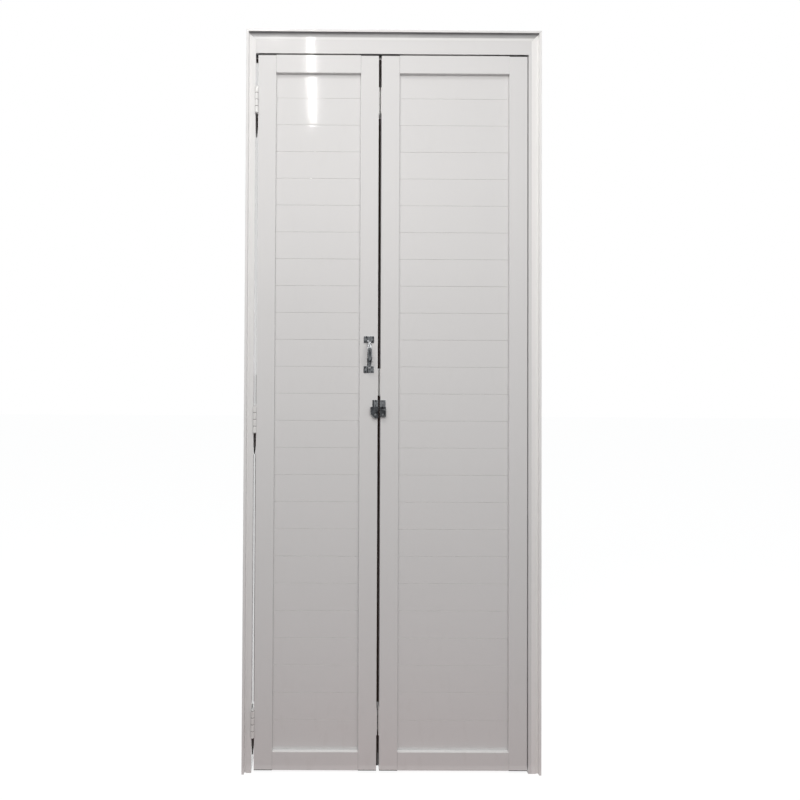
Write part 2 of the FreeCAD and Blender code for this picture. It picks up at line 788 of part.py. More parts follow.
def extrusion_outer():
    """The outside of a stile or rail, as (distance from its outer edge, depth from its front)."""
    cheek, back_cheek = "slot_cheek", "leaf_thickness - slot_cheek"
    floor = "stile_width - slot_depth"
    return [("0", "0"), ("stile_width", "0"), ("stile_width", cheek), (floor, cheek),
            (floor, back_cheek), ("stile_width", back_cheek), ("stile_width", "leaf_thickness"),
            ("0", "leaf_thickness")]


def extrusion_inner():
    """The hollow inside a stile or rail, one wall inside its outline."""
    wall = "extrusion_wall"
    edge, back = f"stile_width - {wall}", f"leaf_thickness - {wall}"
    cheek, back_cheek = f"slot_cheek - {wall}", f"leaf_thickness - slot_cheek + {wall}"
    floor = f"stile_width - slot_depth - {wall}"
    return [(wall, wall), (edge, wall), (edge, cheek), (floor, cheek),
            (floor, back_cheek), (edge, back_cheek), (edge, back), (wall, back)]


RAIL_LEVELS = [
    "leaf_bottom + extrusion_wall + cell_width / 2",
    "leaf_top - extrusion_wall - cell_width / 2",
]


def stile(label, edge, side, hinge_spots, face_spots):
    """A full-height stile. side is 1 where its slot faces right, -1 where it faces left."""
    body = new_body(label, x=edge, y="leaf_front")
    section = new_sketch(body, label + "_section", "XY", "leaf_bottom + cap_thickness")
    for loop in (extrusion_outer(), extrusion_inner()):
        outline(section, [(times(side, across), depth) for across, depth in loop])
    pad(body, label + "_height", section, "leaf_top - leaf_bottom - 2 * cap_thickness")
    corners = [(times(side, across), depth)
               for across in ("0", "stile_width") for depth in ("0", "leaf_thickness")]
    round_corners(body, label + "_edge_round", "extrusion_round", corners, "z")
    if hinge_spots:
        screws = new_sketch(body, label + "_hinge_spots", "YZ", times(-side, "cut_margin"))
        circles(screws, [(f"{y} - leaf_front", z) for y, z in hinge_spots], "screw_hole")
        cut(body, label + "_hinge_holes", screws, "extrusion_wall + cut_margin", toward=side)
    joints = [("leaf_thickness / 2", level) for level in RAIL_LEVELS]
    access = new_sketch(body, label + "_driver_spots", "YZ", times(-side, "cut_margin"))
    circles(access, joints, "driver_hole_radius")
    cut(body, label + "_driver_holes", access, "extrusion_wall + cut_margin", toward=side)
    through = new_sketch(body, label + "_assembly_spots", "YZ",
                         times(side, "extrusion_wall + cell_width - extrusion_wall / 2"))
    circles(through, joints, "assembly_screw_radius + screw_clearance")
    cut(body, label + "_assembly_holes", through, "2 * extrusion_wall", toward=side)
    if face_spots:
        front = new_sketch(body, label + "_face_spots", "XZ", "-cut_margin")
        circles(front, [(f"{x} - ({edge})", z) for x, z in face_spots], "screw_hole")
        cut(body, label + "_face_holes", front, "extrusion_wall + cut_margin")


def rail(label, start, end, level, side, top_spots=()):
    """A rail between the stiles. side is 1 where its slot faces up, -1 where it faces down."""
    length = f"({end}) - ({start}) - 2 * stile_width - 2 * rail_end_gap"
    body = new_body(label, x=f"{start} + stile_width + rail_end_gap", y="leaf_front", z=level)
    section = new_sketch(body, label + "_section", "YZ")
    for loop in (extrusion_outer(), extrusion_inner()):
        outline(section, [(depth, times(side, across)) for across, depth in loop])
    pad(body, label + "_length", section, length)
    corners = [(depth, times(side, across))
               for across in ("0", "stile_width") for depth in ("0", "leaf_thickness")]
    round_corners(body, label + "_edge_round", "extrusion_round", corners, "x")
    if top_spots:
        holes = new_sketch(body, label + "_guide_spots", "XY", "-extrusion_wall - cut_margin")
        spots = [(f"{x} - ({start}) - stile_width - rail_end_gap", "leaf_thickness / 2") for x in top_spots]
        circles(holes, spots, "screw_hole")
        cut(body, label + "_guide_holes", holes, "extrusion_wall + 2 * cut_margin")


def slat_section(height, groove, tongue):
    """A slat's outline as (depth, height), with bevelled faces; grooved below and tongued above."""
    middle, bevel = "slat_thickness / 2", "slat_bevel"
    groove_half = "(tongue_width / 2 + tongue_clearance)"
    groove_depth = "tongue_length + tongue_clearance"
    corners = [("0", bevel), (bevel, "0")]
    if groove:
        corners += [(f"{middle} - {groove_half}", "0"), (f"{middle} - {groove_half}", groove_depth),
                    (f"{middle} + {groove_half}", groove_depth), (f"{middle} + {groove_half}", "0")]
    corners += [(f"slat_thickness - {bevel}", "0"), ("slat_thickness", bevel),
                ("slat_thickness", f"{height} - {bevel}"), (f"slat_thickness - {bevel}", height)]
    if tongue:
        corners += [(f"{middle} + tongue_width / 2", height),
                    (f"{middle} + tongue_width / 2", f"{height} + tongue_length"),
                    (f"{middle} - tongue_width / 2", f"{height} + tongue_length"),
                    (f"{middle} - tongue_width / 2", height)]
    corners += [(bevel, height), ("0", f"{height} - {bevel}")]
    return corners


def slats(label, start, end):
    """The panel: a narrow starter slat, full slats up to the last joint, and a ripped top slat."""
    body = new_body(label, x=f"{start} + stile_width - slat_hold",
                    y="leaf_middle - slat_thickness / 2", z="first_joint")
    length = f"({end}) - ({start}) - 2 * stile_width + 2 * slat_hold"
    hollow_start = "tongue_length + tongue_clearance + slat_wall"

    def slat(name, foot, height, groove, tongue):
        sketch = new_sketch(body, f"{label}_{name}_section", "YZ")
        corners = slat_section(height, groove, tongue)
        outline(sketch, [(y, add(foot, z)) for y, z in corners])
        low = add(foot, hollow_start if groove else "slat_wall")
        rectangle(sketch, "slat_wall", low, "slat_thickness - slat_wall", f"{foot} + {height} - slat_wall")
        return sketch, pad(body, f"{label}_{name}", sketch, length)

    sketch, full_slat = slat("full", "0", "slat_pitch - slat_joint_gap", True, True)
    repeat(body, label + "_rows", [full_slat], (sketch, ["V_Axis"]), "slat_pitch", "slat_count")
    starter = "starter_slat_show + slat_hold"
    slat("starter", f"-({starter})", f"{starter} - slat_joint_gap", False, True)
    rest = "leaf_top - stile_width + slat_hold - (last_joint)"
    slat("top", "slat_count * slat_pitch", rest, True, False)


def corner_block_prototype():
    """A block that fills the end of a rail's main cell and takes the assembly screw."""
    label = "corner_block"
    body = new_body(label, node=False)
    section = new_sketch(body, label + "_section", "YZ")
    half_depth = "leaf_thickness / 2 - extrusion_wall - corner_block_clearance"
    half_height = "cell_width / 2 - corner_block_clearance"
    rectangle(section, f"-({half_depth})", f"-({half_height})", half_depth, half_height)
    circles(section, [("0", "0")], "assembly_screw_radius + screw_clearance")
    pad(body, label + "_length", section, "corner_block_length")
    return body


def end_cap_prototype():
    """A plastic cap for the foot of a stile whose slot faces right: a plate with a plug on it."""
    label = "end_cap"
    body = new_body(label, node=False)
    plate = new_sketch(body, label + "_plate_outline", "XY")
    rectangle(plate, "0", "0", "stile_width", "leaf_thickness")
    pad(body, label + "_plate", plate, "cap_thickness")
    corners = [(across, depth) for across in ("0", "stile_width") for depth in ("0", "leaf_thickness")]
    round_corners(body, label + "_round", "extrusion_round", corners, "z")
    plug = new_sketch(body, label + "_plug_outline", "XY", "cap_thickness")
    inset = "extrusion_wall + cap_clearance"
    rectangle(plug, inset, inset,
              "extrusion_wall + cell_width - cap_clearance", f"leaf_thickness - ({inset})")
    pad(body, label + "_plug", plug, "cap_plug_length")
    return body


def leaf_joints(name, start, end, block, screw, cap):
    """Corner blocks, assembly screws and end caps of one leaf."""
    blocks, screws = [], []
    for level in RAIL_LEVELS:
        blocks.append((block, f"{start} + stile_width + rail_end_gap", "leaf_middle", level, UPRIGHT))
        blocks.append((block, f"{end} - stile_width - rail_end_gap - corner_block_length",
                       "leaf_middle", level, UPRIGHT))
        seat = "extrusion_wall + cell_width"
        screws.append((screw, f"{start} + {seat}", "leaf_middle", level, POINTS_RIGHT))
        screws.append((screw, f"{end} - ({seat})", "leaf_middle", level, POINTS_LEFT))
    group(name + "_corner_blocks", blocks)
    group(name + "_assembly_screws", screws)
    half_turn = {axis: FreeCAD.Rotation(FreeCAD.Vector(*axis), 180)
                 for axis in ((1, 0, 0), (0, 1, 0), (0, 0, 1))}
    group(name + "_end_caps", [
        (cap, start, "leaf_front", "leaf_bottom", UPRIGHT),
        (cap, end, "leaf_back", "leaf_bottom", half_turn[(0, 0, 1)]),
        (cap, start, "leaf_back", "leaf_top", half_turn[(1, 0, 0)]),
        (cap, end, "leaf_front", "leaf_top", half_turn[(0, 1, 0)]),
    ])


def top_seal(label, start, end):
    """A pile seal on the top rail that nearly brushes the head."""
    seal = doc.addObject("Part::Box", label)
    seal.Label = label
    seal.setExpression("Length", full(f"({end}) - ({start})"))
    seal.setExpression("Width", full("seal_width"))
    seal.setExpression("Height", full("head_gap - seal_head_clearance"))
    place(seal, start, "leaf_middle - seal_width / 2", "leaf_top")
    nodes.append(seal)


# ---------------------------------------------------------------------------
# Hinges
# ---------------------------------------------------------------------------

def hinge_half(label, kind, level, side, first_knuckle):
    """One leaf of a butt hinge: a plate on the gap's face, and every second knuckle of the barrel."""
    reach = 1 if kind == "jamb" else -1
    gap = "hinge_gap" if kind == "jamb" else "centre_gap"
    foot = f"{kind}_hinge_{level} - hinge_height / 2"
    body = new_body(label, f"{kind}_pin_x", f"{kind}_pin_y", foot)
    outer = times(side, f"{gap} / 2")
    inner = times(side, f"{gap} / 2 - hinge_plate")
    clear_of_barrel = times(reach, "hinge_barrel_radius + knuckle_gap")
    far = times(reach, f"{kind}_pin_proud + leaf_thickness - hinge_plate_inset")
    plate = new_sketch(body, label + "_plate_outline", "XY")
    rectangle(plate, outer, clear_of_barrel, inner, far)
    pad(body, label + "_plate", plate, "hinge_height")
    level_z = times(first_knuckle, "knuckle_step")
    knuckle_height = "knuckle_step - knuckle_gap"
    web = new_sketch(body, label + "_web_outline", "XY", level_z)
    rectangle(web, outer, "0", inner, clear_of_barrel)
    web_pad = pad(body, label + "_web", web, knuckle_height)
    barrel = new_sketch(body, label + "_barrel_outline", "XY", level_z)
    circles(barrel, [("0", "0")], "hinge_barrel_radius")
    barrel_pad = pad(body, label + "_barrel", barrel, knuckle_height)
    upright = (plate, ["N_Axis"])
    repeat(body, label + "_knuckles", [web_pad, barrel_pad], upright, "2 * knuckle_step",
           "knuckles_per_leaf")
    bore = new_sketch(body, label + "_bore_outline", "XY", "-cut_margin")
    circles(bore, [("0", "0")], "hinge_pin_radius + hinge_pin_fit")
    cut(body, label + "_bore", bore, "hinge_height + 2 * cut_margin")
    spots = hinge_screw_spots("0", f"{kind}_pin_proud", reach)
    holes = new_sketch(body, label + "_screw_spots", "YZ",
                       times(side, f"{gap} / 2 - hinge_plate - cut_margin"))
    circles(holes, spots, "screw_hole")
    cut(body, label + "_screw_holes", holes, "hinge_plate + 2 * cut_margin", toward=side)
    countersink(body, label + "_sinks", "YZ", inner, spots, side)


def hinge_pin(label, kind, level):
    """The hinge pin, with a head that rests under the barrel and one just above it."""
    body = new_body(label, f"{kind}_pin_x", f"{kind}_pin_y", f"{kind}_hinge_{level} - hinge_height / 2")
    section = new_sketch(body, label + "_section", "XZ")
    head = "hinge_pin_radius + hinge_pin_head_overhang"
    top = "hinge_height + knuckle_gap"
    outline(section, [
        ("0", "-hinge_pin_head"),
        (head, "-hinge_pin_head"),
        (head, "0"),
        ("hinge_pin_radius", "0"),
        ("hinge_pin_radius", top),
        (head, top),
        (head, f"{top} + hinge_pin_head"),
        ("0", f"{top} + hinge_pin_head"),
    ])
    turn(body, label + "_turned", section)


def hinge_row(kind, first_name, second_name, screw):
    """The three hinges of one row, and the two groups of screws that hold their leaves."""
    gap = "hinge_gap" if kind == "jamb" else "centre_gap"
    for level in HINGE_LEVELS:
        name = f"{kind}_hinge_{LEVEL_NAMES[level]}"
        hinge_half(f"{name}_{first_name}", kind, level, -1, 0)
        hinge_half(f"{name}_{second_name}", kind, level, 1, 1)
        hinge_pin(f"{name}_pin", kind, level)
    for side, owner, points in ((-1, first_name, POINTS_LEFT), (1, second_name, POINTS_RIGHT)):
        face = f"{kind}_pin_x + ({side}) * ({gap} / 2 - hinge_plate)"
        copies = [(screw, face, y, z, points) for y, z in all_hinge_screws(kind)]
        group(f"{kind}_hinge_{owner}_screws", copies)


# ---------------------------------------------------------------------------
# Pull, latch and guide
# ---------------------------------------------------------------------------

def pull_screw_spots():
    """The (x, z) of the four screws in the feet of the pull."""
    return [(f"pull_middle + ({side}) * pull_screw_spacing / 2",
             f"pull_height + ({end}) * (pull_foot_middle)")
            for end in (-1, 1) for side in (-1, 1)]


def pull():
    """The bow pull: two screw feet with a bow between them that widens towards its middle."""
    label = "pull_handle"
    body = new_body(label, "pull_middle", "leaf_front", "pull_height")
    side_view = new_sketch(body, label + "_bow_side", "YZ", "-pull_bow_width / 2")
    outer_end = "(pull_length / 2 - pull_foot_height + pull_bow_foot_lap)"
    inner_end = f"({outer_end} - pull_bow_root)"
    inner_reach = "(pull_reach - pull_bow_thickness)"
    outer_radius = f"({outer_end} ^ 2 + pull_reach ^ 2) / (2 * pull_reach)"
    inner_radius = f"({inner_end} ^ 2 + {inner_reach} ^ 2) / (2 * {inner_reach})"
    outline(side_view, [
        ("0", f"-{outer_end}", "left", outer_radius),
        ("0", outer_end),
        ("0", inner_end, "right", inner_radius),
        ("0", f"-{inner_end}"),
    ])
    pad(body, label + "_bow", side_view, "pull_bow_width")
    front_view = new_sketch(body, label + "_bow_waste", "XZ", "-pull_reach - cut_margin")
    half, end_half = "pull_bow_width / 2", "pull_bow_end_width / 2"
    swell = f"({half} - {end_half})"
    waste_radius = f"({outer_end} ^ 2 + {swell} ^ 2) / (2 * {swell})"
    for side, bulge in ((-1, "left"), (1, "right")):
        outline(front_view, [
            (times(side, end_half), f"-{outer_end}", bulge, waste_radius),
            (times(side, end_half), outer_end),
            (times(side, f"{half} + cut_margin"), outer_end),
            (times(side, f"{half} + cut_margin"), f"-{outer_end}"),
        ])
    cut(body, label + "_bow_sides", front_view, "pull_reach + 2 * cut_margin")
    feet = new_sketch(body, label + "_feet_outlines", "XZ")
    for end in (-1, 1):
        low = f"pull_foot_middle * ({end}) - pull_foot_height / 2"
        high = f"pull_foot_middle * ({end}) + pull_foot_height / 2"
        rectangle(feet, "-pull_foot_width / 2", low, "pull_foot_width / 2", high)
    pad(body, label + "_feet", feet, "pull_foot_thickness", toward=-1)
    corners = [(times(side, "pull_foot_width / 2"), times(end, height))
               for side in (-1, 1) for end in (-1, 1)
               for height in ("pull_length / 2", "pull_length / 2 - pull_foot_height")]
    round_corners(body, label + "_foot_round", "pull_foot_round", corners, "y")
    spots = [(f"{x} - pull_middle", f"{z} - pull_height") for x, z in pull_screw_spots()]
    holes = new_sketch(body, label + "_screw_spots", "XZ", "-pull_foot_thickness - cut_margin")
    circles(holes, spots, "screw_hole")
    cut(body, label + "_screw_holes", holes, "pull_foot_thickness + 2 * cut_margin")
    countersink(body, label + "_sinks", "XZ", "-pull_foot_thickness", spots, 1)


KEEPER_SCREW_X = "-(keeper_near + keeper_tab_far) / 2"
LATCH_SCREW_X = "(latch_body_near + latch_body_far) / 2"


def latch_screw_holes(body, label, x):
    """A countersunk hole in the tab, and a counterbored one through the block below it."""
    tab, block = [(x, "latch_tab_screw_height")], [(x, "latch_block_screw_height")]
    holes = new_sketch(body, label + "_screw_spots", "XZ", "-latch_depth - cut_margin")
    circles(holes, tab + block, "screw_hole")
    cut(body, label + "_screw_holes", holes, "latch_depth + 2 * cut_margin")
    bore = new_sketch(body, label + "_counterbore_spot", "XZ", "-latch_depth - cut_margin")
    circles(bore, block, "screw_head_radius + screw_clearance")
    cut(body, label + "_counterbore", bore, "latch_depth + cut_margin - latch_plate")
    countersink(body, label + "_sinks", "XZ", "-latch_plate", tab + block, 1)


def bolt_tunnel(body, name, start, length, toward):
    """A tunnel along X that takes the bolt with its clearance."""
    half_height = "(bolt_height / 2 + bolt_clearance)"
    half_depth = "(bolt_thickness / 2 + bolt_clearance)"
    tunnel = new_sketch(body, name + "_outline", "YZ", start)
    rectangle(tunnel, f"-bolt_middle_depth - {half_depth}", f"bolt_middle_height - {half_height}",
              f"-bolt_middle_depth + {half_depth}", f"bolt_middle_height + {half_height}")
    cut(body, name, tunnel, length, toward=toward)


def keeper():
    """The left half of the latch: a screw tab over a block with a pocket for the bolt."""
    label = "latch_keeper"
    body = new_body(label, "centre_pin_x", "leaf_front", "latch_bottom")
    plate = new_sketch(body, label + "_plate_outline", "XZ")
    rectangle(plate, "-keeper_tab_far", "0", "-keeper_near", "latch_height")
    pad(body, label + "_plate", plate, "latch_plate", toward=-1)
    block = new_sketch(body, label + "_block_outline", "XZ")
    outline(block, [
        ("-keeper_near", "0"),
        ("-keeper_near", "latch_block_top"),
        ("-keeper_block_far", "latch_block_top"),
        ("-keeper_block_far", "keeper_shoulder_height"),
        ("keeper_block_taper - keeper_block_far", "0"),
    ])
    pad(body, label + "_block", block, "latch_depth", toward=-1)
    corners = [("-keeper_block_far", "latch_block_top"), ("keeper_block_taper - keeper_block_far", "0"),
               ("-keeper_tab_far", "latch_height")]
    round_corners(body, label + "_round", "latch_round", corners, "y")
    bolt_tunnel(body, label + "_pocket", "-keeper_near", "keeper_pocket_depth", -1)
    latch_screw_holes(body, label, KEEPER_SCREW_X)


def latch_body():
    """The right half of the latch: a screw tab over a block that the bolt slides in."""
    label = "latch_body"
    body = new_body(label, "centre_pin_x", "leaf_front", "latch_bottom")
    plate = new_sketch(body, label + "_plate_outline", "XZ")
    rectangle(plate, "latch_body_near", "latch_body_bottom", "latch_body_far", "latch_height")
    pad(body, label + "_plate", plate, "latch_plate", toward=-1)
    block = new_sketch(body, label + "_block_outline", "XZ")
    rectangle(block, "latch_body_near", "latch_body_bottom", "latch_body_far", "latch_block_top")
    pad(body, label + "_block", block, "latch_depth", toward=-1)
    corners = [("latch_body_far", "latch_body_bottom"), ("latch_body_far", "latch_height")]
    round_corners(body, label + "_round", "latch_round", corners, "y")
    length = "latch_body_far - latch_body_near"
    bolt_tunnel(body, label + "_tunnel", "latch_body_near", length, 1)
    slot = new_sketch(body, label + "_thumb_slot_outline", "XZ", "-latch_depth - cut_margin")
    half = "(thumb_thickness / 2 + bolt_clearance)"
    rectangle(slot, "thumb_neck_start - bolt_travel - bolt_clearance", f"bolt_middle_height - {half}",
              "thumb_neck_start + thumb_neck_width + bolt_clearance", f"bolt_middle_height + {half}")
    cut(body, label + "_thumb_slot", slot, "latch_depth + cut_margin - bolt_middle_depth")
    latch_screw_holes(body, label, LATCH_SCREW_X)


def latch_bolt():
    """The sliding bolt, drawn back, with a neck through the front slot and a thin thumb blade."""
    label = "latch_bolt"
    body = new_body(label, "centre_pin_x", "leaf_front", "latch_bottom")
    bar = new_sketch(body, label + "_bar_outline", "YZ", "bolt_near")
    rectangle(bar, "-bolt_middle_depth - bolt_thickness / 2", "bolt_middle_height - bolt_height / 2",
              "-bolt_middle_depth + bolt_thickness / 2", "bolt_middle_height + bolt_height / 2")
    pad(body, label + "_bar", bar, "bolt_far - bolt_near")
    low = "bolt_middle_height - thumb_thickness / 2"
    neck = new_sketch(body, label + "_neck_outline", "XY", low)
    front = "-latch_depth - bolt_clearance"
    rectangle(neck, "thumb_neck_start", front, "thumb_neck_start + thumb_neck_width", "-bolt_middle_depth")
    pad(body, label + "_neck", neck, "thumb_thickness")
    blade = new_sketch(body, label + "_blade_outline", "XY", low)
    rectangle(blade, "thumb_start", f"{front} - thumb_reach", "thumb_end", front)
    pad(body, label + "_blade", blade, "thumb_thickness")


def latch_screw_copies(screw, x):
    """The two screws of one half of the latch."""
    across, front = f"centre_pin_x + {x}", "leaf_front - latch_plate"
    return [(screw, across, front, f"latch_bottom + {height}", POINTS_BACK)
            for height in ("latch_tab_screw_height", "latch_block_screw_height")]


def latch_face_spots(x):
    """The (x, z) of the holes that one half of the latch needs in its stile."""
    return [(f"centre_pin_x + {x}", f"latch_bottom + {height}")
            for height in ("latch_tab_screw_height", "latch_block_screw_height")]


GUIDE_SCREWS_X = ["guide_outer_screw - guide_screw_spacing", "guide_outer_screw"]


def guide():
    """The guide on top of the right leaf: a plate, a riveted pin and a nylon roller."""
    plate = new_body("guide_bracket", "guide_x", "leaf_middle", "leaf_top")
    face = new_sketch(plate, "guide_bracket_outline", "XY")
    half = "guide_plate_width / 2"
    rectangle(face, "guide_plate_start - (guide_x)", f"-{half}", "guide_plate_overhang", half)
    circles(face, [("0", "0")], "guide_pin_radius + guide_pin_fit")
    spots = [(f"{x} - (guide_x)", "0") for x in GUIDE_SCREWS_X]
    circles(face, spots, "screw_hole")
    pad(plate, "guide_bracket_plate", face, "guide_plate_thickness")
    countersink(plate, "guide_bracket_sinks", "XY", "guide_plate_thickness", spots, -1)

    lift = "(guide_plate_thickness + roller_lift)"
    flange_top = f"({lift} + guide_pin_flange)"
    axle_top = f"({flange_top} + roller_height + 2 * roller_end_play)"
    pin = new_body("guide_pin", "guide_x", "leaf_middle", "leaf_top")
    section = new_sketch(pin, "guide_pin_section", "XZ")
    outline(section, [
        ("0", "0"),
        ("guide_pin_radius", "0"),
        ("guide_pin_radius", lift),
        ("guide_pin_flange_radius", lift),
        ("guide_pin_flange_radius", flange_top),
        ("roller_axle_radius", flange_top),
        ("roller_axle_radius", axle_top),
        ("guide_pin_flange_radius", axle_top),
        ("guide_pin_flange_radius", f"{axle_top} + guide_pin_flange"),
        ("0", f"{axle_top} + guide_pin_flange"),
    ])
    turn(pin, "guide_pin_turned", section)

    roller = new_body("guide_roller", "guide_x", "leaf_middle", f"leaf_top + {flange_top} + roller_end_play")
    rim = new_sketch(roller, "guide_roller_section", "XZ")
    bore, groove = "roller_axle_radius + roller_axle_fit", "roller_radius - roller_groove"
    outline(rim, [
        (bore, "0"),
        ("roller_radius", "0"),
        ("roller_radius", "roller_height / 4"),
        (groove, "roller_height / 2"),
        ("roller_radius", "3 * roller_height / 4"),
        ("roller_radius", "roller_height"),
        (bore, "roller_height"),
    ])
    turn(roller, "guide_roller_turned", rim)


# ---------------------------------------------------------------------------
# The whole door
# ---------------------------------------------------------------------------

def build_frame(screw):
    """Jambs, head, casings, guide track, closing strip and corner joints."""
    angle_spot = (ANGLE_SCREW_Y, f"head_web - ({ANGLE_SCREW_IN})")
    head()
    jamb("hinge_jamb", -1, all_hinge_screws("jamb") + [angle_spot])
    jamb("closing_jamb", 1, [angle_spot])
    head_casing()
    side_casing("casing_hinge_side", -1)
    side_casing("casing_closing_side", 1)
    corner_angles(screw)
    head_track()
    closing_strip()


def build_leaf(name, start, end, stiles, block, assembly_screw, cap):
    """Both stiles, both rails, the slats and the joints of one leaf."""
    for side, (stile_name, hinge_spots, face_spots) in zip((1, -1), stiles):
        edge = start if side > 0 else end
        stile(f"{name}_{stile_name}", edge, side, hinge_spots, face_spots)
    guide_spots = GUIDE_SCREWS_X if name == "right_leaf" else ()
    rail(f"{name}_top_rail", start, end, "leaf_top", -1, guide_spots)
    rail(f"{name}_bottom_rail", start, end, "leaf_bottom", 1)
    slats(f"{name}_slats", start, end)
    leaf_joints(name, start, end, block, assembly_screw, cap)


def build_door():
    """Every sub-part of the door, in the order in which it is put together."""
    screw = screw_prototype()
    assembly_screw = assembly_screw_prototype()
    block = corner_block_prototype()
    cap = end_cap_prototype()
    build_frame(screw)
    hinge_row("jamb", "frame_leaf", "door_leaf", screw)
    pull_spots = pull_screw_spots()
    keeper_spots = latch_face_spots(KEEPER_SCREW_X)
    build_leaf("left_leaf", "left_leaf_start", "left_leaf_end", [
        ("hinge_stile", all_hinge_screws("jamb"), []),
        ("meeting_stile", all_hinge_screws("centre"), pull_spots + keeper_spots),
    ], block, assembly_screw, cap)
    build_leaf("right_leaf", "right_leaf_start", "right_leaf_end", [
        ("meeting_stile", all_hinge_screws("centre"), latch_face_spots(LATCH_SCREW_X)),
        ("closing_stile", [], []),
    ], block, assembly_screw, cap)
    top_seal("left_leaf_top_seal", "left_leaf_start + stile_width + seal_end_gap",
             "left_leaf_end - stile_width - seal_end_gap")
    top_seal("right_leaf_top_seal", "right_leaf_start + stile_width + seal_end_gap",
             "guide_plate_start - seal_end_gap")
    hinge_row("centre", "left_leaf", "right_leaf", screw)
    pull()
    keeper()
    latch_body()
    latch_bolt()
    guide()
    left_screws = [(screw, x, "leaf_front - pull_foot_thickness", z, POINTS_BACK) for x, z in pull_spots]
    group("left_leaf_hardware_screws", left_screws + latch_screw_copies(screw, KEEPER_SCREW_X))
    guide_screws = [(screw, x, "leaf_middle", "leaf_top + guide_plate_thickness", UPRIGHT)
                    for x in GUIDE_SCREWS_X]
    group("right_leaf_hardware_screws", latch_screw_copies(screw, LATCH_SCREW_X) + guide_screws)


def check_document():
    """Stops the build if any object failed or any sub-part's shape is missing or invalid."""
    for item in doc.Objects:
        if "Invalid" in item.State or "Error" in item.State:
            raise RuntimeError(f"{item.Label} did not recompute: {item.State}")
    for node in nodes:
        if node.Shape.isNull() or not node.Shape.isValid():
            raise RuntimeError(f"{node.Label} has no valid shape")
    labels = [node.Label for node in nodes]
    if len(set(labels)) != len(labels):
        raise RuntimeError("two sub-parts share a label")


sheet = fill_sheet()
build_door()
doc.recompute()
check_document()
os.makedirs("parts", exist_ok=True)
for node in nodes:
    node.Shape.exportStep(os.path.join("parts", node.Label + ".step"))
print(len(nodes), "sub-parts,", sum(len(node.Shape.Solids) for node in nodes), "solids")
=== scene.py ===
"""Looks of a two-leaf bifold closet door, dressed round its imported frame.

Lengths are metres in the frame of the part: the origin is the middle of the doorway at
floor level on the wall's front face, +X runs to the closing side, +Y runs back through
the wall and +Z points up.
"""

import logging
import math
import random
from dataclasses import dataclass, field
from enum import Enum
from typing import Any, Callable

import bpy
from bpy.types import Material, NodeSocket, Object, World
from mathutils import Matrix, Vector


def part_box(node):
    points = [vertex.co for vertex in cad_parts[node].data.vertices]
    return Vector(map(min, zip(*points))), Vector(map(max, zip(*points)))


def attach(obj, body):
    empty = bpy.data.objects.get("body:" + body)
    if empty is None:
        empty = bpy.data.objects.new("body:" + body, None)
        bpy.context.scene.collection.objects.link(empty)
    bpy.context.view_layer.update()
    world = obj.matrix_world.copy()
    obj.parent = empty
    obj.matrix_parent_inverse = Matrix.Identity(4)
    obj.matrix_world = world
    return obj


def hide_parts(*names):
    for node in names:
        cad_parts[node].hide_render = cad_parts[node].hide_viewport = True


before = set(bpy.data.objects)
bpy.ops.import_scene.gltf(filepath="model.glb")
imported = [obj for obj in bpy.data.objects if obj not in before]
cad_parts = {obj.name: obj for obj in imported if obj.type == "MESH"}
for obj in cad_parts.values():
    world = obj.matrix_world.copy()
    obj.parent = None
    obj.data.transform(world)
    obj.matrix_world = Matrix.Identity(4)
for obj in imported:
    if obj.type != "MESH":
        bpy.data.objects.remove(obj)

LOG = logging.getLogger("bifold_closet_door")
Colour = tuple[float, float, float]
Point = tuple[float, float, float]
Span = tuple[float, float]
Room = tuple[Span, Span, Span]
MM = 0.001
HAIR = 0.1 * MM
TOUCH = 1e-6
EVEN: Point = (1.0, 1.0, 1.0)
WHITE: Colour = (1.0, 1.0, 1.0)


# ---- Shader graphs ----


class Wire:
    """One output of a shader node. Python's operators on it add Math nodes."""

    def __init__(self, graph: "Graph", socket: NodeSocket) -> None:
        """Keeps the graph that new nodes go to, and the socket."""
        self.graph = graph
        self.socket = socket

    def _math(self, operation: str, first: Any, second: Any = 0.0) -> "Wire":
        """Adds one Math node on two numbers or wires."""
        return self.graph.node("ShaderNodeMath", {"operation": operation}, {0: first, 1: second})

    def __add__(self, other: Any) -> "Wire":
        """The sum."""
        return self._math("ADD", self, other)

    def __sub__(self, other: Any) -> "Wire":
        """The difference."""
        return self._math("SUBTRACT", self, other)

    def __rsub__(self, other: Any) -> "Wire":
        """The difference, with the number first."""
        return self._math("SUBTRACT", other, self)

    def __mul__(self, other: Any) -> "Wire":
        """The product."""
        return self._math("MULTIPLY", self, other)

    def __mod__(self, other: Any) -> "Wire":
        """The rest, which stays positive below zero."""
        return self._math("FLOORED_MODULO", self, other)

    def __abs__(self) -> "Wire":
        """The size without its sign."""
        return self._math("ABSOLUTE", self)

    __radd__ = __add__
    __rmul__ = __mul__

    def larger(self, other: "Wire") -> "Wire":
        """The larger of two."""
        return self._math("MAXIMUM", self, other)

    def above(self, edge: float, soft: float) -> "Wire":
        """A smooth step from 0 to 1, half way at the edge and as wide as soft says."""
        inputs = {0: self, 1: edge - soft / 2, 2: edge + soft / 2, 3: 0.0, 4: 1.0}
        return self.graph.node("ShaderNodeMapRange", {"interpolation_type": "SMOOTHSTEP"}, inputs)


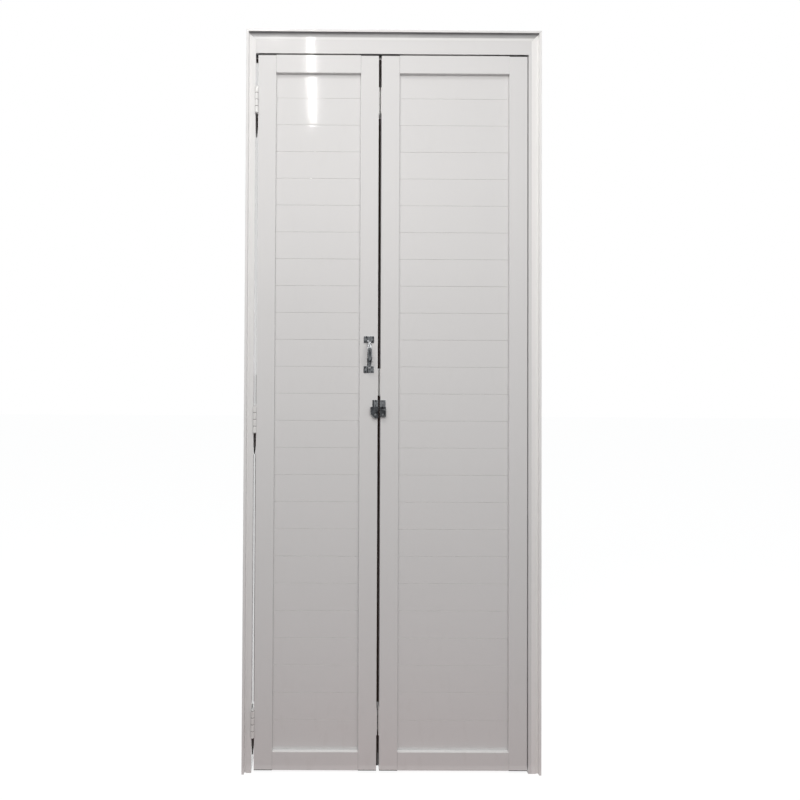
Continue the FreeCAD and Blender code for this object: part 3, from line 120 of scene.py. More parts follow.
class Graph:
    """The node tree of a material or a world."""

    def __init__(self, owner: Material | World, output: str) -> None:
        """Empties the owner's node tree and adds its output node.

        Args:
            owner: The material or the world.
            output: The output node's type.
        """
        owner.use_nodes = True
        self.tree = owner.node_tree
        self.tree.nodes.clear()
        self.output = self.tree.nodes.new(output)

    def feed(self, socket: NodeSocket, value: Any) -> None:
        """Links a wire to an input, or sets its value.

        Args:
            socket: The input.
            value: A wire, a number, or a colour or vector of three numbers.
        """
        if isinstance(value, Wire):
            self.tree.links.new(value.socket, socket)
        elif isinstance(value, tuple) and len(socket.default_value) == 4:
            socket.default_value = (*value, 1.0)
        else:
            socket.default_value = value

    def node(self, kind: str, settings: dict | None = None, inputs: dict | None = None,
             out: int | str = 0) -> Wire:
        """Adds a node.

        Args:
            kind: The node's type.
            settings: Its properties.
            inputs: Values or wires by the input's name or number.
            out: The output to hand back.

        Returns:
            The wire of that output.
        """
        node = self.tree.nodes.new(kind)
        for name, value in (settings or {}).items():
            setattr(node, name, value)
        for name, value in (inputs or {}).items():
            self.feed(node.inputs[name], value)
        return Wire(self, node.outputs[out])

    def place(self, stretch: Point = EVEN) -> Wire:
        """Object coordinates; a small stretch along an axis draws a pattern out along it."""
        spot = self.node("ShaderNodeTexCoord", out="Object")
        return self.node("ShaderNodeMapping", inputs={"Vector": spot, "Scale": stretch})

    def axis(self, letter: str) -> Wire:
        """One object coordinate, in metres."""
        spot = self.node("ShaderNodeTexCoord", out="Object")
        return self.node("ShaderNodeSeparateXYZ", inputs={0: spot}, out=letter)

    def upward(self) -> Wire:
        """How far the surface faces up, from -1 to 1."""
        normal = self.node("ShaderNodeNewGeometry", out="Normal")
        return self.node("ShaderNodeSeparateXYZ", inputs={0: normal}, out="Z")

    def seen_ray(self) -> Wire:
        """1 for rays from the camera, and for those that reflections and glass send on."""
        camera, glossy, through = (self.node("ShaderNodeLightPath", out=f"Is {kind} Ray")
                                   for kind in ("Camera", "Glossy", "Transmission"))
        return camera.larger(glossy).larger(through)

    def noise(self, size: float, detail: float = 2.0, rough: float = 0.5,
              stretch: Point = EVEN) -> Wire:
        """Cloudy noise from 0 to 1, with blotches about as wide as size and finer layers."""
        inputs = {"Vector": self.place(stretch), "Scale": 1.0 / size, "Detail": detail,
                  "Roughness": rough}
        return self.node("ShaderNodeTexNoise", inputs=inputs)

    def cells(self, size: float) -> Wire:
        """The distance to the nearest of many points that lie about as far apart as size."""
        inputs = {"Vector": self.place(), "Scale": 1.0 / size}
        return self.node("ShaderNodeTexVoronoi", inputs=inputs, out="Distance")

    def mix(self, share: Any, first: Any, second: Any) -> Wire:
        """A blend of two colours; the share is the second one's, from 0 to 1."""
        inputs = {0: share, 6: first, 7: second}
        return self.node("ShaderNodeMix", {"data_type": "RGBA"}, inputs, 2)

    def bump(self, height: Wire, depth: float, below: Wire | None = None) -> Wire:
        """A bump that a height gives, on top of another one.

        Args:
            height: The height, from 0 to 1.
            depth: The relief's real depth in metres.
            below: The normal that it adds to.

        Returns:
            The normal.
        """
        inputs = {"Height": height, "Distance": depth, "Strength": 1.0}
        if below is not None:
            inputs["Normal"] = below
        return self.node("ShaderNodeBump", inputs=inputs)

    def wear(self, **values: Any) -> Wire:
        """Adds the Principled shader and shows it.

        Args:
            values: Its inputs by their names, in lower case and with underscores.

        Returns:
            The shader.
        """
        shader = self.tree.nodes.new("ShaderNodeBsdfPrincipled")
        names = {socket.name.lower().replace(" ", "_"): socket for socket in shader.inputs}
        for name, value in values.items():
            self.feed(names[name], value)
        return self.show(Wire(self, shader.outputs[0]))

    def show(self, shader: Wire) -> Wire:
        """Shows a shader on the surface, in place of the one before."""
        self.feed(self.output.inputs["Surface"], shader)
        return shader

    def blend(self, share: Wire, first: Wire, second: Wire) -> Wire:
        """Shows a blend of two shaders; the share is the second one's, from 0 to 1."""
        inputs = {0: share, 1: first, 2: second}
        return self.show(self.node("ShaderNodeMixShader", inputs=inputs))


# ---- Finishes ----


@dataclass(frozen=True)
class Blotches:
    """Cloudy noise that shows only above a level, as dust, stains and rubbed places lie."""

    size: float
    detail: float
    rough: float
    start: float
    fade: float
    share: float = 1.0
    stretch: Point = EVEN

    def on(self, graph: Graph) -> Wire:
        """The blotches, from 0 to their share."""
        cloud = graph.noise(self.size, self.detail, self.rough, self.stretch)
        return cloud.above(self.start, self.fade) * self.share


@dataclass(frozen=True)
class Finish:
    """A surface finish, and the record's material slot that it stands for."""

    name: str
    slot: str = ""

    def material(self) -> Material:
        """The finish's material, made when it is first asked for.

        Returns:
            The material.
        """
        known = bpy.data.materials.get(self.name)
        if known is None:
            known = bpy.data.materials.new(self.name)
            self.paint(Graph(known, "ShaderNodeOutputMaterial"))
        return known

    def paint(self, graph: Graph) -> None:
        """Fills the graph; each kind of finish has its own."""
        raise NotImplementedError


@dataclass(frozen=True)
class GlossCoat(Finish):
    """Gloss paint on an extrusion: a skin like fine orange peel, faint dust, a little grime, and a
    painted highlight that lightens faces which look up.
    """

    slot: str = "white_aluminium"
    colour: Colour = (0.80, 0.80, 0.80)
    shaded: float = 0.975
    tone: float = 0.35
    # Painted highlight: faces that look up are lightened towards this colour, standing in for the
    # light that falls on them from above.
    top_highlight_colour: Colour = (0.98, 0.98, 0.975)
    highlight_facing: float = 0.75
    highlight_fade: float = 0.2
    grime: Colour = (0.52, 0.50, 0.48)
    dust: Blotches = Blotches(1.1 * MM, 2.0, 0.7, start=0.70, fade=0.06, share=0.10)
    scuff: Blotches = Blotches(25 * MM, 4.0, 0.65, start=0.60, fade=0.14, stretch=(1.0, 1.0, 0.35))
    scuff_share: float = 0.02
    low_height: float = 0.16
    low_fade: float = 0.42
    low_scuff: float = 0.07
    low_haze: float = 0.05
    roughness: float = 0.42
    roughness_swing: float = 0.10
    roughness_patch: float = 70 * MM
    dirt_roughness: float = 0.3
    sheen: float = 0.12
    coat_roughness: float = 0.095
    peel: float = 2.2 * MM
    peel_depth: float = 0.006 * MM
    wave: float = 60.0 * MM
    wave_depth: float = 0.03 * MM

    def paint(self, graph: Graph) -> None:
        """Tone, painted highlight on upward faces, dust, grime, gloss and relief of the paint.

        Args:
            graph: The material's graph.
        """
        dirt = self.dirt(graph)
        shade = tuple(self.shaded * part for part in self.colour)
        tone_with_highlight = graph.mix(graph.noise(self.tone, 3.0), shade, self.colour)
        # Painted highlight: upward faces are mixed towards the lighter top colour.
        top = graph.upward().above(self.highlight_facing, self.highlight_fade)
        tone_with_highlight = graph.mix(top, tone_with_highlight, self.top_highlight_colour)
        patches = graph.noise(self.roughness_patch, 5.0, 0.6)
        peel = graph.bump(graph.noise(self.peel, 1.0), self.peel_depth)
        wave = graph.bump(graph.noise(self.wave, 1.0), self.wave_depth, peel)
        roughness = patches * self.roughness_swing + (self.roughness - self.roughness_swing / 2)
        graph.wear(base_color=graph.mix(dirt, tone_with_highlight, self.grime),
                   roughness=roughness + dirt * self.dirt_roughness,
                   specular_ior_level=self.sheen, coat_weight=1.0 - dirt,
                   coat_roughness=self.coat_roughness, normal=wave)

    def dirt(self, graph: Graph) -> Wire:
        """Dust all over, and scuffs that are thicker low down.

        Args:
            graph: The material's graph.

        Returns:
            The dirt, from 0 to 1.
        """
        low = 1 - graph.axis("Z").above(self.low_height, self.low_fade)
        scuff = self.scuff.on(graph)
        lowest = low * (scuff * self.low_scuff + self.low_haze)
        return self.dust.on(graph) + lowest + scuff * self.scuff_share


@dataclass(frozen=True)
class SlatCoat(GlossCoat):
    """The gloss coat of the slats, with the grey that gathers in the grooves between them."""

    pitch: float = 0.0
    first_joint: float = 0.0
    joint_reach: float = 1.1 * MM
    joint_fade: float = 1.2 * MM
    joint_haze: float = 0.005
    patches: Blotches = Blotches(45 * MM, 3.0, 0.6, start=0.42, fade=0.30, share=0.08)

    def dirt(self, graph: Graph) -> Wire:
        """The coat's own dirt and that of the grooves.

        Args:
            graph: The material's graph.

        Returns:
            The dirt, from 0 to 1.
        """
        rest = (graph.axis("Z") - (self.first_joint - self.pitch / 2)) % self.pitch
        near = 1 - abs(rest - self.pitch / 2).above(self.joint_reach, self.joint_fade)
        return super().dirt(graph) + near * (self.patches.on(graph) + self.joint_haze)


@dataclass(frozen=True)
class HollowShadeCoat(GlossCoat):
    """The gloss coat of the head casing, with painted shade in the hollow under its lip, mixed in
    like near-black grime.
    """

    ledge: float = 2118.0 * MM
    ledge_fade: float = 0.3 * MM
    lip: float = 11.1 * MM
    lip_fade: float = 0.4 * MM
    # Where the painted shade ramps up, at the lip's foot and across the hollow's slope, and how
    # dark each ramp gets.
    foot: Span = (-2.4 * MM, 2.2 * MM)
    foot_shade_share: float = 0.16
    slope: Span = (-12.5 * MM, 4.0 * MM)
    slope_shade_share: float = 0.53
    streak: float = 16 * MM
    streak_swing: float = 0.3

    def dirt(self, graph: Graph) -> Wire:
        """The coat's own dirt, and painted shade in the hollow up to its foot below the lip.

        Args:
            graph: The material's graph.

        Returns:
            The dirt and the painted shade, from 0 to 1.
        """
        out = graph.axis("Z") - self.ledge
        below = 1 - out.above(self.ledge_fade / 2, self.ledge_fade)
        behind = 1 - (0 - graph.axis("Y")).above(self.lip, self.lip_fade)
        # Painted shade: ramps that darken the hollow towards the lip's foot, standing in for the
        # shade under the lip, made uneven by streaky noise.
        dust = out.above(*self.foot) * self.foot_shade_share + out.above(*self.slope) * self.slope_shade_share
        shade_streaks = graph.noise(self.streak, 3.0, 0.6, (0.25, 1.0, 1.0))
        uneven = shade_streaks * self.streak_swing + (1 - self.streak_swing / 2)
        return super().dirt(graph) + below * behind * dust * uneven


@dataclass(frozen=True)
class Enamel(Finish):
    """Sprayed enamel on the hinges: thicker than the door's coat, with specks and patches of grime;
    a dark copy of it paints shade on the knuckle ends where they meet.
    """

    colour: Colour = (0.88, 0.88, 0.87)
    grime: Colour = (0.42, 0.40, 0.38)
    specks: Blotches = Blotches(0.8 * MM, 2.0, 0.7, start=0.66, fade=0.08, share=0.22)
    patches: Blotches = Blotches(9 * MM, 4.0, 0.6, start=0.56, fade=0.24, share=0.14)
    roughness: float = 0.30
    dirt_roughness: float = 0.8
    coat: float = 0.7
    coat_roughness: float = 0.08
    run: float = 4 * MM
    run_depth: float = 0.05 * MM

    def paint(self, graph: Graph) -> None:
        """Runs, specks and gloss of the enamel.

        Args:
            graph: The material's graph.
        """
        dirt = self.specks.on(graph) + self.patches.on(graph)
        runs = graph.noise(self.run, stretch=(1.0, 1.0, 0.4))
        graph.wear(base_color=graph.mix(dirt, self.colour, self.grime),
                   roughness=dirt * self.dirt_roughness + self.roughness,
                   coat_weight=self.coat - dirt, coat_roughness=self.coat_roughness,
                   normal=graph.bump(runs, self.run_depth))


class Grain(Enum):
    """The way that polishing or drawing lines run on a metal."""

    ALL_ROUND = EVEN
    ALONG_X = (0.03, 1.0, 1.0)
    ALONG_Z = (1.0, 1.0, 0.03)


@dataclass(frozen=True)
class Metal(Finish):
    """Bare or plated metal with fine lines, stains, runs and small pits."""

    colour: Colour = (0.55, 0.56, 0.57)
    stain: Colour = (0.30, 0.29, 0.28)
    roughness: float = 0.12
    roughness_swing: float = 0.08
    mark_roughness: float = 0.25
    grain: Grain = Grain.ALL_ROUND
    line: float = 0.35 * MM
    line_depth: float = 0.004 * MM
    cloud: Blotches = Blotches(11 * MM, 4.0, 0.6, start=0.54, fade=0.30)
    stained: float = 0.25
    runs: Blotches = Blotches(3.2 * MM, 2.0, 0.5, start=0.50, fade=0.10, stretch=(1.0, 1.0, 0.07))
    streaked: float = 0.0
    pit_step: float = 2.6 * MM
    pit_size: float = 0.10
    pit_share: float = 0.30
    pit_depth: float = 0.6

    def paint(self, graph: Graph) -> None:
        """Lines, stains, pits and shine of the metal.

        Args:
            graph: The material's graph.
        """
        lines = graph.noise(self.line, 3.0, 0.6, self.grain.value)
        pits = 1 - graph.cells(self.pit_step).above(self.pit_size, self.pit_size / 2)
        marks = self.cloud.on(graph) * self.stained + pits * self.pit_share
        marks = marks + self.runs.on(graph) * self.streaked
        roughness = lines * self.roughness_swing + marks * self.mark_roughness
        graph.wear(base_color=graph.mix(marks, self.colour, self.stain), metallic=1.0,
                   roughness=roughness + (self.roughness - self.roughness_swing / 2),
                   normal=graph.bump(lines - pits * self.pit_depth, self.line_depth))


@dataclass(frozen=True)
class Plastic(Finish):
    """Moulded plastic with a fine spark-eroded skin, whitened where it has been rubbed."""

    colour: Colour = (0.03, 0.03, 0.03)
    rubbed: Colour = (0.10, 0.10, 0.10)
    rub: Blotches = Blotches(6 * MM, 4.0, 0.65, start=0.60, fade=0.20)
    rub_share: float = 0.6
    rub_roughness: float = 0.15
    roughness: float = 0.45
    roughness_swing: float = 0.10
    skin: float = 0.35 * MM
    skin_depth: float = 0.02 * MM
    through: float = 0.0
    through_depth: float = 2 * MM

    def paint(self, graph: Graph) -> None:
        """Skin, rubbed places and sheen of the plastic.

        Args:
            graph: The material's graph.
        """
        skin = graph.noise(self.skin, 2.0, 0.7)
        rub = self.rub.on(graph)
        roughness = rub * self.rub_roughness + skin * self.roughness_swing + self.roughness
        graph.wear(base_color=graph.mix(rub * self.rub_share, self.colour, self.rubbed),
                   roughness=roughness, subsurface_weight=self.through,
                   subsurface_scale=self.through_depth, normal=graph.bump(skin, self.skin_depth))


@dataclass(frozen=True)
class PileYarn(Finish):
    """Silicone-treated polypropylene yarn of a weather strip."""

    colour: Colour = (0.32, 0.31, 0.30)
    shaded: float = 0.55
    dusty: Colour = (0.50, 0.46, 0.42)
    dust: Blotches = Blotches(14 * MM, 4.0, 0.6, start=0.52, fade=0.30, share=0.5)
    yarn: float = 1.2 * MM
    yarn_depth: float = 0.1 * MM
    roughness: float = 0.82
    roughness_swing: float = 0.1
    sheen: float = 0.4
    sheen_roughness: float = 0.5

    def paint(self, graph: Graph) -> None:
        """Shades of single yarns, and the dust that they catch.

        Args:
            graph: The material's graph.
        """
        yarn = graph.noise(self.yarn, 2.0, 0.8, (1.0, 1.0, 0.2))
        shade = graph.mix(yarn, tuple(self.shaded * part for part in self.colour), self.colour)
        graph.wear(base_color=graph.mix(self.dust.on(graph), shade, self.dusty),
                   roughness=yarn * self.roughness_swing + self.roughness,
                   sheen_weight=self.sheen, sheen_roughness=self.sheen_roughness,
                   normal=graph.bump(yarn, self.yarn_depth))


@dataclass(frozen=True)
class PaleFloor(Finish):
    """A plain pale floor whose lit part is as white as the background, with its shadows kept."""

    colour: Colour = (0.24, 0.24, 0.24)
    near: Colour = (0.46, 0.29, 0.28)
    reach: float = 1.6
    grain: float = 0.4
    grain_share: float = 0.06
    roughness: float = 0.6
    seen: float = 0.88
    shade: Colour = (0.26, 0.26, 0.26)

    def paint(self, graph: Graph) -> None:
        """Mixes the lit floor with its seen white by the kind of ray.

        Args:
            graph: The material's graph.
        """
        close = graph.node("ShaderNodeTexGradient", {"gradient_type": "SPHERICAL"},
                           {"Vector": graph.place((1 / self.reach,) * 3)})
        share = graph.noise(self.grain, 3.0) * self.grain_share + close
        plain = graph.wear(base_color=graph.mix(share, self.colour, self.near),
                           roughness=self.roughness)
        lit = graph.node("ShaderNodeBsdfDiffuse", inputs={"Color": self.shade})
        glow = graph.node("ShaderNodeEmission", inputs={"Color": WHITE, "Strength": self.seen})
        white = graph.node("ShaderNodeAddShader", inputs={0: lit, 1: glow})
        graph.blend(graph.seen_ray(), plain, white)


@dataclass(frozen=True)
class FlatCard(Finish):
    """A card of one flat tone that shows only from its front."""

    colour: Colour = (0.013, 0.008, 0.007)

    def paint(self, graph: Graph) -> None:
        """A flat front and a back that lets everything through.

        Args:
            graph: The material's graph.
        """
        tone = graph.node("ShaderNodeEmission", inputs={"Color": self.colour, "Strength": 1.0})
        clear = graph.node("ShaderNodeBsdfTransparent")
        graph.blend(graph.node("ShaderNodeNewGeometry", out="Backfacing"), tone, clear)


WHITE_COAT = GlossCoat("gloss white coat")
CASING_COAT = GlossCoat("gloss white casing coat", colour=(0.87, 0.87, 0.865))
# A lighter copy of the casing coat for the closing side: painted light, standing in for the light
# that falls more on that side.
LIT_CASING_COAT = GlossCoat("painted_light gloss white casing coat", colour=(0.95, 0.95, 0.94))
# Its grime colour is near black because it also colours the painted shade in the hollow under the
# lip.
SHADED_HEAD_COAT = HollowShadeCoat("gloss white head casing coat", colour=CASING_COAT.colour,
                      grime=(0.10, 0.10, 0.11))
HINGE_ENAMEL = Enamel("white hinge enamel", "white_steel")
# A dark copy of the enamel for the knuckle ends and their rounded rims: painted shade in the joints
# between knuckles.
HINGE_JOINT_SHADE = Enamel("painted_shade hinge joints", "white_steel", colour=(0.16, 0.155, 0.15),
                     grime=(0.06, 0.055, 0.05))
PIN_ENAMEL = Enamel("overpainted pin heads", "hinge_pin", colour=(0.74, 0.74, 0.73))
CHROME = Metal("polished chrome", "chrome", colour=(0.85, 0.865, 0.88), stain=(0.10, 0.10, 0.11),
               roughness=0.10, grain=Grain.ALONG_Z, stained=0.4, streaked=0.8)
# A darker copy of the chrome for the latch blocks: its low colour paints the dark reflections the
# blocks show, with stains of its own.
SHADED_CHROME = Metal("dark_reflection chrome", "chrome", colour=(0.34, 0.35, 0.365),
                    stain=(0.05, 0.05, 0.055), roughness=0.16, grain=Grain.ALONG_Z, stained=0.7,
                    streaked=0.3)
CHROME_SCREW = Metal("chromed screws", "chrome_screw", colour=(0.92, 0.93, 0.94), roughness=0.16)
STEEL_SCREW = Metal("zinced screws", "steel_screw", colour=(0.50, 0.50, 0.48), roughness=0.26,
                    stained=0.5)
ZINC = Metal("zinced steel", "zinc_steel", colour=(0.56, 0.56, 0.53), stain=(0.36, 0.35, 0.30),
             roughness=0.30, line=0.8 * MM, stained=0.6)
MILL = Metal("mill aluminium", "mill_aluminium", colour=(0.62, 0.62, 0.62),
             stain=(0.45, 0.45, 0.45), roughness=0.34, grain=Grain.ALONG_X, line=0.5 * MM)
BLACK_PLASTIC = Plastic("black moulded plastic", "black_plastic")
NYLON = Plastic("white nylon", "nylon", colour=(0.72, 0.71, 0.66), rubbed=(0.55, 0.54, 0.50),
                roughness=0.38, through=0.15)
PILE = PileYarn("grey pile yarn", "pile")
PALE_FLOOR = PaleFloor("pale floor")
# Near black: the sheets behind the gaps use it as painted shade.
CLOSET_DARK = FlatCard("closet dark")
GREY_CARD = FlatCard("grey card", colour=(0.20, 0.205, 0.21))


# ---- Modelling bench ----


class Pick(Enum):
    """The kind of mesh element that an edit selects."""

    VERTS = "VERT"
    EDGES = "EDGE"
    FACES = "FACE"


class Bench:
    """The modelling tools that every new piece is shaped with."""

    @staticmethod
    def clear() -> None:
        """Leaves edit mode and deselects everything."""
        active = bpy.context.view_layer.objects.active
        if active is not None and active.mode != "OBJECT":
            bpy.ops.object.mode_set(mode="OBJECT")
        bpy.ops.object.select_all(action="DESELECT")

    @classmethod
    def hold(cls, *pieces: Object) -> None:
        """Selects some pieces alone and makes the first the active one.

        Args:
            pieces: The pieces.
        """
        cls.clear()
        for piece in pieces:
            piece.select_set(True)
        bpy.context.view_layer.objects.active = pieces[0]

    @staticmethod
    def _lay(name: str, size: Point = EVEN) -> Object:
        """Names the primitive just added and lays its size and place into its mesh.

        Args:
            name: The piece's name.
            size: What the primitive is stretched by.

        Returns:
            The piece.
        """
        piece = bpy.context.object
        piece.name = piece.data.name = name
        piece.scale = size
        bpy.ops.object.transform_apply(location=True, rotation=True, scale=True)
        return piece

    @classmethod
    def block(cls, name: str, low: Point, high: Point) -> Object:
        """A block between two corners, ready to be shaped.

        Args:
            name: The piece's name.
            low: Its lowest corner.
            high: Its highest corner.

        Returns:
            The piece.
        """
        cls.clear()
        start, end = Vector(low), Vector(high)
        bpy.ops.mesh.primitive_cube_add(size=1.0, location=(start + end) / 2)
        return cls._lay(name, end - start)

    @classmethod
    def sheet(cls, name: str, middle: Vector, across: Vector, along: Vector) -> Object:
        """A flat sheet, ready to be shaped.

        Args:
            name: The piece's name.
            middle: Its middle.
            across: Its width and the direction of that.
            along: Its length and the direction of that.

        Returns:
            The piece.
        """
        cls.clear()
        axes = Matrix((across.normalized(), along.normalized(), across.cross(along).normalized()))
        turn = axes.transposed().to_euler()
        bpy.ops.mesh.primitive_plane_add(size=1.0, location=middle, rotation=turn)
        return cls._lay(name, (across.length, along.length, 1.0))

    @classmethod
    def rod(cls, name: str, foot: Point, top: Point, radius: float,
            top_radius: float | None = None, sides: int = 32) -> Object:
        """A round bar or cone between two points, ready to be shaped.

        Args:
            name: The piece's name.
            foot: The middle of its first end.
            top: The middle of its other end.
            radius: The radius at its foot.
            top_radius: The radius at its top, if that differs.
            sides: The number of its sides.

        Returns:
            The piece.
        """
        cls.clear()
        start, end = Vector(foot), Vector(top)
        turn = (end - start).to_track_quat("Z", "Y").to_euler()
        bpy.ops.mesh.primitive_cone_add(
            vertices=sides, radius1=radius, radius2=radius if top_radius is None else top_radius,
            depth=(end - start).length, location=(start + end) / 2, rotation=turn)
        return cls._lay(name)

    @classmethod
    def pick(cls, piece: Object, kind: Pick, keep: Callable[..., bool]) -> bool:
        """Opens a piece for editing with only some of its elements selected.

        Args:
            piece: The piece.
            kind: Verts, edges or faces.
            keep: Says which: it is given a vert's place, an edge's two ends, or a face's
                middle and normal.

        Returns:
            Whether any are selected.
        """
        cls.hold(piece)
        bpy.ops.object.mode_set(mode="EDIT")
        bpy.ops.mesh.select_mode(type=kind.value)
        bpy.ops.mesh.select_all(action="DESELECT")
        bpy.ops.object.mode_set(mode="OBJECT")
        mesh = piece.data
        verts = mesh.vertices
        if kind is Pick.VERTS:
            elements = [(vert, (vert.co,)) for vert in verts]
        elif kind is Pick.EDGES:
            elements = [(edge, tuple(verts[i].co for i in edge.vertices)) for edge in mesh.edges]
        else:
            elements = [(face, (face.center, face.normal)) for face in mesh.polygons]
        kept = [element for element, facts in elements if keep(*facts)]
        for element in kept:
            element.select = True
        bpy.ops.object.mode_set(mode="EDIT")
        return bool(kept)

    @classmethod
    def round_edges(cls, piece: Object, keep: Callable[..., bool], radius: float,
                    steps: int = 3) -> None:
        """Rounds some edges of a piece.

        Args:
            piece: The piece.
            keep: Says which edges, from their two ends.
            radius: The round's radius.
            steps: The number of its facets.
        """
        if cls.pick(piece, Pick.EDGES, keep):
            bpy.ops.mesh.bevel(offset=radius, segments=steps, affect="EDGES")
        cls.clear()

    @classmethod
    def finish_with(cls, piece: Object, kind: str, **settings: Any) -> None:
        """Adds a modifier and applies it.

        Args:
            piece: The piece.
            kind: The modifier's type.
            settings: Its properties.
        """
        cls.hold(piece)
        step = piece.modifiers.new(kind.lower(), kind)
        for name, value in settings.items():
            setattr(step, name, value)
        bpy.ops.object.modifier_apply(modifier=step.name)

    @classmethod
    def cut(cls, piece: Object, tool: Object) -> None:
        """Cuts a tool's shape out of a piece and puts the tool away."""
        cls.finish_with(piece, "BOOLEAN", operation="DIFFERENCE", solver="EXACT", object=tool)
        bpy.data.objects.remove(tool)

    @classmethod
    def soften(cls, piece: Object, radius: float, steps: int = 2, angle: float = 40.0) -> None:
        """Takes the sharpness off a piece's edges, from the angle up, and shades it smooth."""
        cls.finish_with(piece, "BEVEL", width=radius, segments=steps, limit_method="ANGLE",
                        angle_limit=math.radians(angle))
        cls.smooth(piece)

    @classmethod
    def smooth(cls, piece: Object, angle: float = 45.0) -> None:
        """Shades a piece smooth, with its flats kept flat.

        Args:
            piece: The piece.
            angle: The least angle in degrees that stays sharp.
        """
        cls.hold(piece)
        bpy.ops.object.shade_smooth_by_angle(angle=math.radians(angle))
        cls.finish_with(piece, "WEIGHTED_NORMAL", keep_sharp=True)

    @classmethod
    def copy(cls, piece: Object, name: str, shift: Vector) -> Object:
        """Copies a piece with its own mesh.

        Args:
            piece: The piece.
            name: The copy's name.
            shift: How far the copy is moved.

        Returns:
            The copy.
        """
        twin = piece.copy()
        twin.data = piece.data.copy()
        twin.name = twin.data.name = name
        bpy.context.scene.collection.objects.link(twin)
        twin.location = shift
        cls.hold(twin)
        bpy.ops.object.transform_apply(location=True, rotation=False, scale=False)
        return twin

    @classmethod
    def join(cls, name: str, pieces: list[Object]) -> Object:
        """Makes one piece of several.

        Args:
            name: The name of the joined piece.
            pieces: The pieces.

        Returns:
            The joined piece.
        """
        cls.hold(*pieces)
        bpy.ops.object.join()
        pieces[0].name = pieces[0].data.name = name
        return pieces[0]

    @classmethod
    def touch_up(cls, piece: Object, finish: Finish, keep: Callable[..., bool]) -> None:
        """Gives some faces of a dressed piece a second finish.

        Args:
            piece: The piece.
            finish: The second finish.
            keep: Says which faces, from their middles and normals.
        """
        piece.data.materials.append(finish.material())
        cls.pick(piece, Pick.FACES, keep)
        piece.active_material_index = 1
        bpy.ops.object.material_slot_assign()
        cls.clear()


class Sweep:
    """A long shell drawn by leading a straight edge round a moulding's section.

    A spot of the section is its distance outward from the corner and its depth forward.
    """

    def __init__(self, name: str, corner: Vector, outward: Vector, along: Vector,
                 first: Span, second: Span) -> None:
        """Lays the first strip.

        Args:
            name: The piece's name.
            corner: The section's origin at the moulding's first end.
            outward: The way that the section's distances run.
            along: The moulding's length and direction.
            first: The section's first spot.
            second: Its second spot.
        """
        self.corner, self.outward = corner, outward
        start, self.at = self._point(first), self._point(second)
        across, lead = self.at - start, along.normalized()
        self.piece = Bench.sheet(name, start + (across + along) / 2, across, along)
        Bench.pick(self.piece, Pick.EDGES, lambda *ends: all(
            (end - self.at).cross(lead).length < TOUCH for end in ends))

    def _point(self, spot: Span) -> Vector:
        """A spot of the section as a point of the part."""
        return self.corner + self.outward * spot[0] + Vector((0.0, -spot[1], 0.0))

    def run(self, *spots: Span) -> None:
        """Leads the edge straight from spot to spot.

        Args:
            spots: The spots.
        """
        for spot in spots:
            to = self._point(spot)
            bpy.ops.mesh.extrude_edges_move(TRANSFORM_OT_translate={"value": to - self.at})
            self.at = to

    def arc(self, centre: Span, spot: Span, steps: int) -> None:
        """Leads the edge round an arc.

        Args:
            centre: The arc's middle.
            spot: The arc's end.
            steps: The number of its facets.
        """
        middle, to = self._point(centre), self._point(spot)
        start, end = self.at - middle, to - middle
        axis = start.cross(end).normalized()
        bpy.ops.mesh.spin(steps=steps, angle=-start.angle(end), center=middle, axis=axis)
        self.at = to

    def close(self) -> Object:
        """Welds the shell, caps both ends and turns its faces outwards.

        Returns:
            The piece.
        """
        bpy.ops.mesh.select_mode(type="VERT")
        bpy.ops.mesh.select_all(action="SELECT")
        bpy.ops.mesh.remove_doubles(threshold=TOUCH)
        bpy.ops.mesh.select_all(action="DESELECT")
        bpy.ops.mesh.select_non_manifold()
        bpy.ops.mesh.fill_holes(sides=0)
        bpy.ops.mesh.select_all(action="SELECT")
        bpy.ops.mesh.normals_make_consistent(inside=False)
        Bench.clear()
        return self.piece


def every_face(middle: Vector, normal: Vector) -> bool:
    """Picks every face."""
    return True


def settle(piece: Object, finish: Finish, body: str, *nodes: str) -> Object:
    """Dresses a finished piece and ties it to the frame.

    Args:
        piece: The piece.
        finish: Its finish.
        body: The body that it rides on.
        nodes: The nodes that it stands for.

    Returns:
        The piece.
    """
    piece.data.materials.clear()
    piece.data.materials.append(finish.material())
    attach(piece, body)
    if nodes:
        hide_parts(*nodes)
    LOG.info("%s: %d faces", piece.name, len(piece.data.polygons))
    return piece


# ---- Frame ----


class Casing(Enum):
    """The three casings: their names, their finishes, and the ways they face and run."""

    HEAD = ("casing_head", SHADED_HEAD_COAT, (0.0, 0.0, 1.0), (1.0, 0.0, 0.0))
    HINGE_SIDE = ("casing_hinge_side", CASING_COAT, (-1.0, 0.0, 0.0), (0.0, 0.0, 1.0))
    # The closing side casing wears the lighter copy of the coat: painted light.
    CLOSING_SIDE = ("casing_closing_side", LIT_CASING_COAT, (1.0, 0.0, 0.0), (0.0, 0.0, 1.0))


